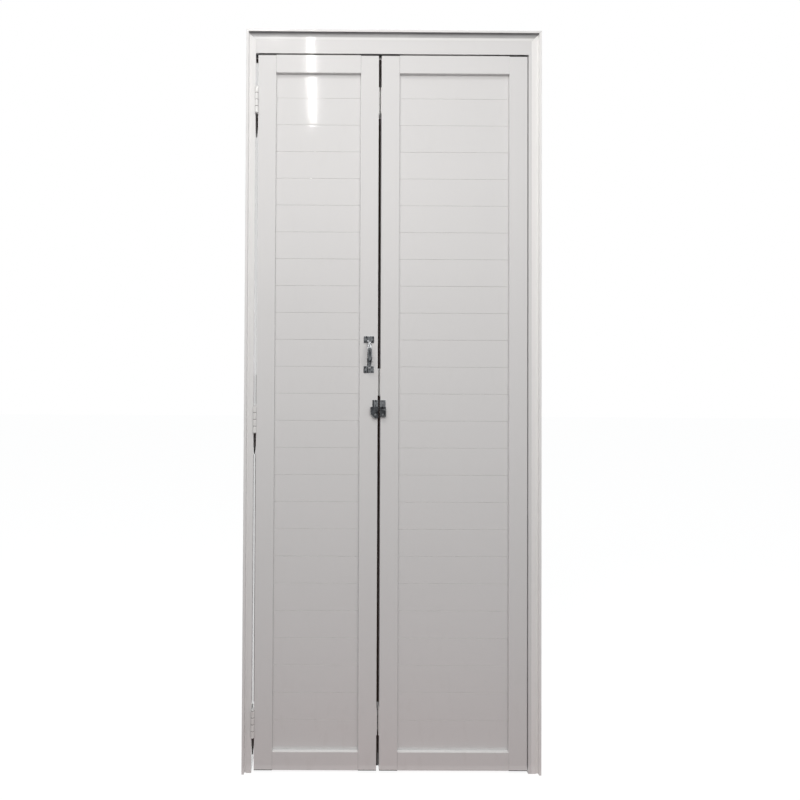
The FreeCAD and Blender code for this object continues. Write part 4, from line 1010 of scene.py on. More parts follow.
@dataclass
class Mouldings:
    """The three mitred casings, each a flat band, a hollow and a raised lip."""

    jamb_face: float = 398.0 * MM
    head_web: float = 2098.0 * MM
    width: float = 27.0 * MM
    band_depth: float = 6.0 * MM
    lip_depth: float = 12.0 * MM
    lip_width: float = 7.0 * MM
    hollow_width: float = 10.0 * MM
    hollow_depth: float = 3.9 * MM
    brow_radius: float = 6.0 * MM
    brow_steps: int = 5
    foot_radius: float = 2.2 * MM
    foot_steps: int = 8
    lip_round: float = 2.0 * MM
    lip_steps: int = 6
    edge_round: float = 0.8 * MM
    edge_steps: int = 4
    flange: float = 20.2 * MM
    wall: float = 2.0 * MM
    mitre_gap: float = 0.3 * MM
    mitre_ease: float = 0.45 * MM
    sharp: float = 50.0

    def build(self) -> None:
        """Makes all three lengths."""
        for casing in Casing:
            name, coat, outward, along = casing.value
            piece = self._section(name, casing, Vector(outward), Vector(along))
            self._mitre(piece, casing)
            Bench.smooth(piece, self.sharp)
            settle(piece, coat, "frame", name)

    def _section(self, name: str, casing: Casing, outward: Vector, along: Vector) -> Object:
        """Leads an edge round the section.

        Args:
            name: The piece's name.
            casing: Which of the three it is.
            outward: The way from the opening to the casing's outer edge.
            along: The way that the casing runs.

        Returns:
            The casing with square ends.
        """
        if casing is Casing.HEAD:
            corner = Vector((-self.jamb_face - self.width, 0.0, self.head_web))
            length = along * (2 * (self.jamb_face + self.width))
        else:
            corner = Vector((outward.x * self.jamb_face, 0.0, 0.0))
            length = along * (self.head_web + self.width)
        lip_start = self.width - self.lip_width
        hollow_start = lip_start - self.hollow_width
        band, front, hollow = self.band_depth, self.lip_depth, self.hollow_depth
        edge, lip, brow, foot = self.edge_round, self.lip_round, self.brow_radius, self.foot_radius
        turn = self._slope()
        aside, aback = math.sin(turn), 1 - math.cos(turn)
        sweep = Sweep(name, corner, outward, length, (0.0, self.wall), (0.0, band - edge))
        sweep.arc((edge, band - edge), (edge, band), self.edge_steps)
        sweep.run((hollow_start, band))
        sweep.arc((hollow_start, band - brow), (hollow_start + brow * aside, band - brow * aback),
                  self.brow_steps)
        sweep.run((lip_start - foot * (1 + aside), hollow + foot * aback))
        sweep.arc((lip_start - foot, hollow + foot), (lip_start, hollow + foot), self.foot_steps)
        sweep.run((lip_start, front - edge))
        sweep.arc((lip_start + edge, front - edge), (lip_start + edge, front), self.edge_steps)
        sweep.run((self.width - lip, front))
        sweep.arc((self.width - lip, front - lip), (self.width, front - lip), self.lip_steps)
        sweep.run((self.width, 0.0), (self.flange, 0.0), (self.flange, self.wall), (0.0, self.wall))
        return sweep.close()

    def _slope(self) -> float:
        """The angle of the straight between the hollow's brow and its foot, found by halving.

        Returns:
            The angle in radians.
        """
        brow, foot = self.brow_radius, self.foot_radius
        low, high = 0.0, math.pi / 2
        for _ in range(40):
            turn = (low + high) / 2
            across = self.hollow_width - foot * (1 + math.sin(turn)) - brow * math.sin(turn)
            fall = self.band_depth - self.hollow_depth - (brow + foot) * (1 - math.cos(turn))
            low, high = (turn, high) if across * math.tan(turn) < fall else (low, turn)
        return low

    def _mitre(self, piece: Object, casing: Casing) -> None:
        """Cuts the casing's mitred ends and eases their front arris.

        Args:
            piece: The casing with square ends.
            casing: Which of the three it is.
        """
        sides = (-1, 1) if casing is Casing.HEAD else (int(casing.value[2][0]),)
        for side in sides:
            corner = Vector((side * self.jamb_face, 0.0, self.head_web))
            slope = Vector((side, 0.0, -1.0)).normalized()
            if casing is not Casing.HEAD:
                corner.z -= self.mitre_gap
                slope = -slope
            Bench.pick(piece, Pick.FACES, every_face)
            bpy.ops.mesh.bisect(plane_co=corner, plane_no=slope, use_fill=True, clear_outer=True)
            back = -self.wall - self.mitre_ease
            Bench.round_edges(piece, lambda *ends: all(
                abs((end - corner).dot(slope)) < 10 * TOUCH and end.y < back for end in ends),
                self.mitre_ease, 1)


# ---- Leaves ----


@dataclass
class SlatPanel:
    """One leaf's panel of tongue and groove slats, held in the slots of its stiles and rails."""

    leaf: str
    seed: int
    pitch: float = 77.8 * MM
    first_joint: float = 66.0 * MM
    count: int = 24
    gap: float = 0.15 * MM
    arris: float = 0.75 * MM
    tongue: float = 2.4 * MM
    tongue_length: float = 6.0 * MM
    groove: float = 3.0 * MM
    groove_depth: float = 6.3 * MM
    lean: float = 0.09
    sharp: float = 35.0
    wave_depth: float = 0.05 * MM
    low: Vector = field(init=False)
    high: Vector = field(init=False)

    def __post_init__(self) -> None:
        """Reads where the panel is."""
        self.low, self.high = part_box(f"{self.leaf}_slats")

    def build(self) -> None:
        """Makes every slat and joins them to one panel."""
        chance = random.Random(self.seed)
        slats = [self._slat("starter", self.low.z, self.first_joint - self.gap, False, True)]
        for row in range(self.count):
            foot = self.first_joint + row * self.pitch
            slats.append(self._slat(f"row_{row}", foot, foot + self.pitch - self.gap, True, True))
        top = self.first_joint + self.count * self.pitch
        slats.append(self._slat("top", top, self.high.z, True, False))
        for slat in slats[1:-1]:
            self._lean(slat, math.radians(chance.uniform(-self.lean, self.lean)))
        panel = Bench.join(f"{self.leaf}_slat_panel", slats)
        Bench.smooth(panel, self.sharp)
        coat = SlatCoat("gloss white slat coat", wave_depth=self.wave_depth, pitch=self.pitch,
                        first_joint=self.first_joint)
        settle(panel, coat, self.leaf, f"{self.leaf}_slats")

    def _slat(self, name: str, foot: float, top: float, grooved: bool, tongued: bool) -> Object:
        """Shapes one slat.

        Args:
            name: The slat's name.
            foot: The height of its lower edge.
            top: The height of its upper edge.
            grooved: Whether it has a groove below.
            tongued: Whether it has a tongue above.

        Returns:
            The slat.
        """
        low = (self.low.x, self.low.y, foot)
        slat = Bench.block(name, low, (self.high.x, self.high.y, top))
        Bench.round_edges(slat, lambda a, b: abs(a.x - b.x) > 10 * MM, self.arris, 2)
        flat = self.high.y - self.low.y - 2 * self.arris
        if tongued:
            self._edge(slat, 1.0, (flat - self.tongue) / 2, self.tongue_length)
        if grooved:
            self._edge(slat, -1.0, (flat - self.groove) / 2, -self.groove_depth)
        return slat

    @staticmethod
    def _edge(slat: Object, side: float, inset: float, rise: float) -> None:
        """Draws a tongue out of a slat's edge, or presses a groove into it.

        Args:
            slat: The slat.
            side: 1 for its upper edge, -1 for its lower one.
            inset: How far the tongue or groove keeps from the edge's sides.
            rise: How far it stands out; negative where it goes in.
        """
        Bench.pick(slat, Pick.FACES, lambda middle, normal: normal.z * side > 0.99)
        bpy.ops.mesh.inset(thickness=inset)
        bpy.ops.mesh.extrude_region_move(TRANSFORM_OT_translate={"value": (0.0, 0.0, rise * side)})
        Bench.clear()

    @staticmethod
    def _lean(slat: Object, angle: float) -> None:
        """Turns a slat a little about its length, as it sits loose in its slots.

        Args:
            slat: The slat.
            angle: The angle in radians.
        """
        Bench.pick(slat, Pick.FACES, every_face)
        verts = slat.data.vertices
        middle = sum((vert.co for vert in verts), Vector()) / len(verts)
        bpy.ops.transform.rotate(value=angle, orient_axis="X", center_override=middle)
        Bench.clear()


@dataclass
class PileSeal:
    """The pile weather strip on a leaf's top rail: a woven back and rows of cut tufts."""

    leaf: str
    seed: int
    back_height: float = 0.7 * MM
    back_arris: float = 0.2 * MM
    tuft_step: float = 1.3 * MM
    tufts_per_group: int = 9
    rows: int = 4
    tuft_radius: float = 0.95 * MM
    tuft_foot: float = 0.6
    tuft_sides: int = 6
    sway: float = 0.55 * MM
    uneven: float = 0.4 * MM

    def build(self) -> None:
        """Weaves the back, sets one group of tufts and repeats it along the rail."""
        name = f"{self.leaf}_top_seal"
        low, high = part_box(name)
        back = Bench.block(f"{name}_back", low, (high.x, high.y, low.z + self.back_height))
        Bench.soften(back, self.back_arris)
        chance = random.Random(self.seed)
        group = [self._tuft(low, high, row, place, chance)
                 for row in range(self.rows) for place in range(self.tufts_per_group)]
        tufts = Bench.join(f"{name}_tufts", group)
        span = self.tuft_step * self.tufts_per_group
        Bench.finish_with(
            tufts, "ARRAY", count=int((high.x - low.x - self.tuft_step) / span),
            use_relative_offset=False, use_constant_offset=True,
            constant_offset_displace=(span, 0.0, 0.0))
        seal = Bench.join(f"{self.leaf}_pile_seal", [back, tufts])
        settle(seal, PILE, self.leaf, name)

    def _tuft(self, low: Vector, high: Vector, row: int, place: int,
              chance: random.Random) -> Object:
        """Sets one tuft.

        Args:
            low: The seal's lowest corner.
            high: The seal's highest corner.
            row: The tuft's row across the seal.
            place: The tuft's place along its row.
            chance: The source of its lean.

        Returns:
            The tuft.
        """
        room = self.tuft_radius + self.sway
        across = (high.y - low.y - 2 * room) / (self.rows - 1)
        x = low.x + room + self.tuft_step * (place + (row % 2) / 2)
        y = low.y + room + across * row
        lean = (chance.uniform(-self.sway, self.sway), chance.uniform(-self.sway, self.sway))
        foot = (x, y, low.z + self.back_height / 2)
        top = (x + lean[0], y + lean[1], high.z - chance.uniform(0.0, self.uneven))
        return Bench.rod("tuft", foot, top, self.tuft_radius * self.tuft_foot, self.tuft_radius,
                         self.tuft_sides)


# ---- Hardware ----


@dataclass(frozen=True)
class HingePlace:
    """Where one row of hinges sits, and the names and bodies of its two leaves.

    Its plates reach back from the pins where reach is 1 and forward where it is -1, as far as far.
    """

    name: str
    pin: Span
    heights: tuple[float, float, float]
    gap: float
    reach: float
    far: float
    leaves: tuple[tuple[str, str], tuple[str, str]]


class HingeRow(Enum):
    """The two rows of hinges."""

    JAMB = HingePlace(
        "jamb_hinge", (-394.5 * MM, -9.98 * MM), (141.0 * MM, 1003.5 * MM, 1920.5 * MM),
        7.0 * MM, 1.0, 20.0 * MM, (("frame_leaf", "frame"), ("door_leaf", "left_leaf")))
    CENTRE = HingePlace(
        "centre_hinge", (-39.0 * MM, 25.477 * MM), (144.0 * MM, 1111.0 * MM, 1924.0 * MM),
        8.0 * MM, -1.0, -4.0 * MM, (("left_leaf", "left_leaf"), ("right_leaf", "right_leaf")))


@dataclass
class ButtHinges:
    """One row of three butt hinges: two leaves with knuckles each, and a pin."""

    place: HingePlace
    height: float = 76.0 * MM
    plate: float = 2.0 * MM
    barrel: float = 5.0 * MM
    bore: float = 2.55 * MM
    pin: float = 2.5 * MM
    pin_head: float = 4.0 * MM
    pin_head_height: float = 1.5 * MM
    pin_head_round: float = 1.1 * MM
    knuckle_gap: float = 0.3 * MM
    knuckle_step: float = 19.1 * MM
    web_start: float = 3.2 * MM
    screw_spacing: float = 26.0 * MM
    screw_stagger: float = 4.0 * MM
    screw_sink: float = 3.5 * MM
    sink_depth: float = 1.7 * MM
    screw_hole: float = 1.9 * MM
    arris: float = 0.45 * MM
    knuckle_arris: float = 1.1 * MM
    sides: int = 40
    levels: tuple[str, ...] = ("bottom", "middle", "top")
    spot: Vector = field(init=False)

    def __post_init__(self) -> None:
        """Sets where the pin stands."""
        self.spot = Vector((*self.place.pin, 0.0))

    def build(self) -> None:
        """Makes one of each part and copies it to the three heights."""
        (first, first_body), (second, second_body) = self.place.leaves
        parts = ((first, first_body, self._half(-1.0, 0), HINGE_ENAMEL),
                 (second, second_body, self._half(1.0, 1), HINGE_ENAMEL),
                 ("pin", first_body, self._pin(), PIN_ENAMEL))
        for part, body, model, finish in parts:
            for level, height in zip(self.levels, self.place.heights):
                node = f"{self.place.name}_{level}_{part}"
                shift = Vector((0.0, 0.0, height - self.height / 2))
                piece = settle(Bench.copy(model, f"{node}_made", shift), finish, body, node)
                if part != "pin":
                    # The knuckle ends, where each meets its neighbour, get the dark copy: painted
                    # shade in the joints.
                    Bench.touch_up(piece, HINGE_JOINT_SHADE, self._on_end)
            bpy.data.objects.remove(model)

    def _on_end(self, middle: Vector, normal: Vector) -> bool:
        """Whether a face belongs to the end of a knuckle, where it meets its neighbour."""
        return (middle.xy - self.spot.xy).length < self.barrel and abs(normal.z) > 0.3

    def _slab(self, name: str, across: Span, back: Span, up: Span) -> Object:
        """A block between the ends of three spans, which may be given either way round."""
        spans = (across, back, up)
        return Bench.block(name, tuple(map(min, spans)), tuple(map(max, spans)))

    def _half(self, side: float, first_knuckle: int) -> Object:
        """One leaf of the hinge, with its foot at floor level.

        Args:
            side: -1 for the leaf on the left of the pin, 1 for the one on its right.
            first_knuckle: The place of its lowest knuckle.

        Returns:
            The leaf.
        """
        outer = self.spot.x + side * self.place.gap / 2
        across = (outer, outer - side * self.plate)
        near = self.spot.y + self.place.reach * (self.barrel + self.knuckle_gap)
        pieces = [self._plate(side, across, (near, self.place.far))]
        for knuckle in (first_knuckle, first_knuckle + 2):
            low = knuckle * self.knuckle_step
            up = (low, low + self.knuckle_step - self.knuckle_gap)
            pieces.append(self._knuckle(up))
            start = self.spot.y + self.place.reach * self.web_start
            web = self._slab("web", across, (start, near), up)
            Bench.soften(web, self.arris / 2)
            pieces.append(web)
        half = Bench.join("hinge_half", pieces)
        Bench.smooth(half)
        return half

    def _plate(self, side: float, across: Span, back: Span) -> Object:
        """The plate of a hinge leaf, with its three countersunk holes.

        Args:
            side: As for _half.
            across: Its outer and its inner face.
            back: Its edge near the pin and its far edge.

        Returns:
            The plate.
        """
        plate = self._slab("plate", across, back, (0.0, self.height))
        Bench.soften(plate, self.arris)
        outer, inner = across
        for row in (-1, 0, 1):
            stagger = self.screw_stagger if row == 0 else -self.screw_stagger
            y = sum(back) / 2 + self.place.reach * stagger
            z = self.height / 2 + row * self.screw_spacing
            start, bottom = (inner - side * HAIR, y, z), (inner + side * self.sink_depth, y, z)
            Bench.cut(plate, Bench.rod("seat", start, bottom, self.screw_sink, self.screw_hole))
            end = (outer + side * MM, y, z)
            Bench.cut(plate, Bench.rod("hole", (inner, y, z), end, self.screw_hole))
        return plate

    def _knuckle(self, up: Span) -> Object:
        """One bored knuckle.

        Args:
            up: Its lower and its upper end.

        Returns:
            The knuckle.
        """
        (x, y, _), (low, high) = self.spot, up
        knuckle = Bench.rod("knuckle", (x, y, low), (x, y, high), self.barrel, sides=self.sides)
        Bench.soften(knuckle, self.knuckle_arris, 3)
        Bench.cut(knuckle, Bench.rod("bore", (x, y, low - MM), (x, y, high + MM), self.bore))
        return knuckle

    def _pin(self) -> Object:
        """The pin, with a domed head at each end.

        Returns:
            The pin.
        """
        x, y, _ = self.spot
        top, head_height = self.height + self.knuckle_gap, self.pin_head_height
        shank = Bench.rod("shank", (x, y, 0.0), (x, y, top + HAIR), self.pin)
        pieces = [shank]
        for low, high, edge in ((-head_height, 0.0, -head_height),
                                (top + HAIR, top + head_height, top + head_height)):
            head = Bench.rod("pin_head", (x, y, low), (x, y, high), self.pin_head, sides=self.sides)
            Bench.round_edges(head, lambda *ends, edge=edge: all(
                abs(end.z - edge) < TOUCH for end in ends), self.pin_head_round, 4)
            pieces.append(head)
        pin = Bench.join("hinge_pin", pieces)
        Bench.smooth(pin)
        return pin


@dataclass
class ScrewSeats:
    """Countersunk and counterbored seats for the hardware's screws."""

    hole: float = 1.9 * MM
    seat: float = 3.5 * MM
    depth: float = 1.7 * MM
    proud: float = 0.05 * MM
    bore_sides: int = 40

    def cut(self, piece: Object, x: float, z: float, face: float, back: float,
            front: float | None = None) -> None:
        """Cuts one seat that points back.

        Args:
            piece: The piece.
            x: The screw's place across.
            z: The screw's height.
            face: Where the screw's head ends flush.
            back: Where the hole ends.
            front: Where a counterbore starts, if there is one.
        """
        Bench.cut(piece, Bench.rod("hole", (x, face, z), (x, back + MM, z), self.hole))
        Bench.cut(piece, Bench.rod("seat", (x, face - self.proud, z), (x, face + self.depth, z),
                                   self.seat, self.hole))
        if front is not None:
            Bench.cut(piece, Bench.rod("bore", (x, front - MM, z), (x, face, z), self.seat,
                                       sides=self.bore_sides))


@dataclass
class BowPull:
    """The bow pull: two screw feet, and a bow between them that swells towards its middle."""

    middle: Span = (-69.0 * MM, 1190.0 * MM)
    leaf_front: float = -6.0 * MM
    length: float = 105.0 * MM
    foot_width: float = 29.5 * MM
    foot_height: float = 19.0 * MM
    foot_thickness: float = 2.5 * MM
    foot_round: float = 1.5 * MM
    foot_arris: float = 0.6 * MM
    bow_reach: float = 30.0 * MM
    bow_half: float = 43.5 * MM
    bow_trim: float = math.radians(0.9)
    bow_thickness: float = 4.0 * MM
    bow_width: float = 14.0 * MM
    bow_end_width: float = 9.0 * MM
    bow_arris: float = 1.8 * MM
    crest: float = -0.22
    fullness: float = 1.3
    steps: int = 48
    screw_spacing: float = 18.0 * MM

    def build(self) -> None:
        """Makes both feet and the bow."""
        pull = Bench.join("bow_pull", [self._foot(-1), self._foot(1), self._bow()])
        Bench.smooth(pull, 40.0)
        settle(pull, CHROME, "left_leaf", "pull_handle")

    def _foot(self, end: int) -> Object:
        """One foot, with its two screw seats.

        Args:
            end: -1 for the lower foot, 1 for the upper one.

        Returns:
            The foot.
        """
        x, middle = self.middle
        z = middle + end * (self.length - self.foot_height) / 2
        face = self.leaf_front - self.foot_thickness
        half = Vector((self.foot_width / 2, 0.0, self.foot_height / 2))
        foot = Bench.block("foot", (x - half.x, face, z - half.z),
                           (x + half.x, self.leaf_front, z + half.z))
        Bench.round_edges(foot, lambda a, b: abs(a.y - b.y) > MM, self.foot_round, 4)
        Bench.round_edges(foot, lambda a, b: max(a.y, b.y) < face + TOUCH, self.foot_arris, 3)
        for side in (-0.5, 0.5):
            ScrewSeats().cut(foot, x + side * self.screw_spacing, z, face, self.leaf_front)
        return foot

    def _bow(self) -> Object:
        """Spins the bow's section round its arc and swells it ring by ring.

        Returns:
            The bow.
        """
        x, z = self.middle
        radius = (self.bow_half ** 2 + self.bow_reach ** 2) / (2 * self.bow_reach)
        half_angle = math.asin(self.bow_half / radius) - self.bow_trim
        centre = Vector((x, self.leaf_front - self.bow_reach + radius, z))
        inward = Vector((0.0, math.cos(half_angle), math.sin(half_angle)))
        middle = centre - inward * (radius - self.bow_thickness / 2)
        width = Vector((self.bow_end_width, 0.0, 0.0))
        bow = Bench.sheet("bow", middle, width, inward * self.bow_thickness)
        Bench.pick(bow, Pick.FACES, every_face)
        bpy.ops.mesh.spin(steps=self.steps, angle=2 * half_angle, center=centre,
                          axis=(1.0, 0.0, 0.0))
        bpy.ops.mesh.select_all(action="SELECT")
        bpy.ops.mesh.normals_make_consistent(inside=False)
        Bench.clear()
        for ring in range(1, self.steps):
            angle = half_angle * (2 * ring / self.steps - 1)
            most = self.bow_width / self.bow_end_width - 1
            swell = 1 + most * self._swelling(angle / half_angle)
            self._widen(bow, centre, angle, half_angle / self.steps, swell)
        Bench.soften(bow, self.bow_arris, 4, 35.0)
        return bow

    def _swelling(self, place: float) -> float:
        """How far the bow has swollen, from 0 at its ends (-1 and 1) to 1 at its crest."""
        reach = (1 + self.crest) if place < self.crest else (1 - self.crest)
        return math.cos((place - self.crest) / reach * math.pi / 2) ** self.fullness

    @staticmethod
    def _widen(bow: Object, centre: Vector, angle: float, half_step: float, factor: float) -> None:
        """Widens one ring of the bow.

        Args:
            bow: The bow.
            centre: The middle of its arc.
            angle: The ring's angle about it.
            half_step: Half the angle between two rings.
            factor: What the ring's width is multiplied by.
        """
        Bench.pick(bow, Pick.VERTS, lambda spot: abs(
            math.atan2(spot.z - centre.z, centre.y - spot.y) - angle) < half_step)
        bpy.ops.transform.resize(value=(factor, 1.0, 1.0), center_override=centre)
        Bench.clear()


@dataclass
class SlideLatch:
    """The surface latch: a keeper, a body, and a bolt with a thumb blade.

    Its sizes run right from the middle of the gap, up from its foot and out from the leaf.
    """

    gap_middle: float = -39.0 * MM
    face: float = -6.0 * MM
    foot: float = 1009.0 * MM
    plate: float = 2.0 * MM
    depth: float = 10.0 * MM
    height: float = 51.0 * MM
    tab_low: float = 12.0 * MM
    block_top: float = 32.0 * MM
    rounding: float = 1.5 * MM
    arris: float = 0.4 * MM
    keeper_tab: Span = (-19.0 * MM, -3.0 * MM)
    keeper_block: Span = (-25.0 * MM, -3.0 * MM)
    keeper_slope: Point = (-1.0, 0.0, -1.0)
    keeper_screw: float = -11.0 * MM
    body: Span = (2.3 * MM, 18.5 * MM)
    body_low: float = 4.0 * MM
    body_screw: float = 10.4 * MM
    tab_screw: float = 42.0 * MM
    block_screw: float = 9.5 * MM
    bolt_level: float = 24.5 * MM
    bolt_deep: float = 5.25 * MM
    pocket: Span = (-12.0 * MM, 0.0)
    tunnel: Span = (1.0 * MM, 20.0 * MM)
    tunnel_half: Span = (4.0 * MM, 2.75 * MM)
    slot: Span = (3.9 * MM, 16.9 * MM)
    slot_half: float = 1.5 * MM
    bar: Span = (3.0 * MM, 18.0 * MM)
    bar_half: float = 3.5 * MM
    bar_deep: Span = (3.0 * MM, 7.5 * MM)
    blade_half: float = 1.0 * MM
    neck: Span = (13.4 * MM, 16.4 * MM)
    neck_end: float = 11.0 * MM
    blade: Span = (6.0 * MM, 20.6 * MM)
    blade_deep: Span = (10.5 * MM, 13.5 * MM)
    blade_arris: float = 0.6 * MM
    sharp: float = 40.0

    def build(self) -> None:
        """Makes the three parts."""
        block_face = self.face - self.plate - HAIR
        for half in (settle(self._keeper(), CHROME, "left_leaf", "latch_keeper"),
                     settle(self._body(), CHROME, "right_leaf", "latch_body")):
            # The blocks' faces that stand out from the plates take the darker copy: painted dark
            # reflection.
            Bench.touch_up(half, SHADED_CHROME, lambda middle, normal: middle.y < block_face)
        settle(self._bolt(), CHROME, "latch_bolt", "latch_bolt")

    def _box(self, name: str, across: Span, up: Span, out: Span) -> Object:
        """A block in the latch's own frame.

        Args:
            name: The block's name.
            across: From where to where it goes, right of the gap's middle.
            up: From where to where it goes, above the latch's foot.
            out: From where to where it stands out of the leaf.

        Returns:
            The block.
        """
        low = (self.gap_middle + across[0], self.face - out[1], self.foot + up[0])
        high = (self.gap_middle + across[1], self.face - out[0], self.foot + up[1])
        return Bench.block(name, low, high)

    def _corner(self, piece: Object, x: float, z: float) -> None:
        """Rounds one corner of a block, seen from the front.

        Args:
            piece: The block.
            x: The corner's place, right of the gap's middle.
            z: Its height above the latch's foot.
        """
        x, z = self.gap_middle + x, self.foot + z
        Bench.round_edges(piece, lambda *ends: all(
            abs(end.x - x) + abs(end.z - z) < 10 * TOUCH for end in ends), self.rounding, 4)

    def _way(self, across: Span) -> Room:
        """The room that the bolt's bar slides in, over some of the latch's width."""
        (half_up, half_deep), level, deep = self.tunnel_half, self.bolt_level, self.bolt_deep
        return across, (level - half_up, level + half_up), (deep - half_deep, deep + half_deep)

    def _half(self, name: str, plate: Object, block: Object, screw_x: float,
              *rooms: Room) -> Object:
        """Softens, bores and joins the plate and block of one half.

        Args:
            name: The half's name.
            plate: Its plate.
            block: Its block.
            screw_x: Where its screws are, right of the gap's middle.
            rooms: The rooms that are cut from its block.

        Returns:
            The half.
        """
        x, back, front = self.gap_middle + screw_x, self.face - self.plate, self.face - self.depth
        for part in (plate, block):
            Bench.soften(part, self.arris, 3)
            for level, start in ((self.tab_screw, None), (self.block_screw, front)):
                ScrewSeats().cut(part, x, self.foot + level, back, self.face, start)
        for room in rooms:
            Bench.cut(block, self._box("slot", *room))
        half = Bench.join(name, [plate, block])
        Bench.smooth(half, self.sharp)
        return half

    def _keeper(self) -> Object:
        """The left half: a tab over a shield-shaped block with a pocket for the bolt.

        Returns:
            The keeper.
        """
        up, far = (self.tab_low, self.height), self.keeper_block[0]
        plate = self._box("keeper_plate", self.keeper_tab, up, (0.0, self.plate))
        self._corner(plate, self.keeper_tab[0], self.height)
        up = (0.0, self.block_top)
        block = self._box("keeper_block", self.keeper_block, up, (0.0, self.depth))
        shoulder = Vector((self.gap_middle + far, 0.0, self.foot + self.tab_low))
        Bench.pick(block, Pick.FACES, every_face)
        bpy.ops.mesh.bisect(plane_co=shoulder, plane_no=self.keeper_slope, use_fill=True,
                            clear_outer=True)
        Bench.clear()
        self._corner(block, far, self.block_top)
        return self._half("latch_keeper_made", plate, block, self.keeper_screw,
                          self._way(self.pocket))

    def _body(self) -> Object:
        """The right half: a tab over a block with a tunnel and a slot for the thumb blade.

        Returns:
            The body.
        """
        up, right = (self.tab_low, self.height), self.body[1]
        plate = self._box("body_plate", self.body, up, (0.0, self.plate))
        self._corner(plate, right, self.height)
        up = (self.body_low, self.block_top)
        block = self._box("body_block", self.body, up, (0.0, self.depth))
        self._corner(block, right, self.body_low)
        slot = (self.slot, (self.bolt_level - self.slot_half, self.bolt_level + self.slot_half),
                (self.bolt_deep, self.depth + MM))
        return self._half("latch_body_made", plate, block, self.body_screw,
                          self._way(self.tunnel), slot)

    def _bolt(self) -> Object:
        """The bolt: a bar, a neck and a thin thumb blade.

        Returns:
            The bolt.
        """
        level = self.bolt_level
        thin = (level - self.blade_half, level + self.blade_half)
        bar = self._box("bar", self.bar, (level - self.bar_half, level + self.bar_half),
                        self.bar_deep)
        neck = self._box("neck", self.neck, thin, (self.bolt_deep, self.neck_end))
        blade = self._box("blade", self.blade, thin, self.blade_deep)
        Bench.soften(bar, self.arris)
        Bench.soften(neck, self.arris / 2)
        Bench.soften(blade, self.blade_arris, 3)
        bolt = Bench.join("latch_bolt_made", [bar, neck, blade])
        Bench.smooth(bolt, self.sharp)
        return bolt


# ---- Carried-over nodes ----


@dataclass
class Dresser:
    """Gives every node of the frame that still shows the finish that its name calls for."""

    rules: tuple[tuple[str, Finish], ...] = (
        ("hardware_screws", CHROME_SCREW), ("screws", STEEL_SCREW), ("corner_", MILL),
        ("end_caps", BLACK_PLASTIC), ("guide_roller", NYLON), ("guide", ZINC), ("head_track", MILL))

    def build(self) -> None:
        """Dresses the nodes one by one."""
        for name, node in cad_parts.items():
            if not node.hide_render:
                finish = next((known for part, known in self.rules if part in name), WHITE_COAT)
                node.data.materials.clear()
                node.data.materials.append(finish.material())
                LOG.info("%s: carried over in %s", name, finish.name)


# ---- Studio ----


@dataclass
class Lamp:
    """A soft rectangular lamp, aimed at a point."""

    name: str
    spot: Point
    target: Point
    size: Span
    power: float
    colour: Colour
    glare: bool = True

    def build(self) -> None:
        """Hangs the lamp."""
        light = bpy.data.lights.new(self.name, "AREA")
        light.shape = "RECTANGLE"
        light.size, light.size_y = self.size
        light.energy = self.power
        light.color = self.colour
        lamp = bpy.data.objects.new(self.name, light)
        lamp.location = self.spot
        way = Vector(self.target) - Vector(self.spot)
        lamp.rotation_euler = way.to_track_quat("-Z", "Y").to_euler()
        lamp.visible_glossy = self.glare
        bpy.context.scene.collection.objects.link(lamp)


class Seen(Enum):
    """Which rays see a sheet of the studio, by those that pass through it."""

    BY_ALL = ()
    BY_CAMERA = ("diffuse", "glossy", "transmission", "shadow", "volume_scatter")
    BY_GLOSS = ("camera", "diffuse", "transmission", "shadow", "volume_scatter")


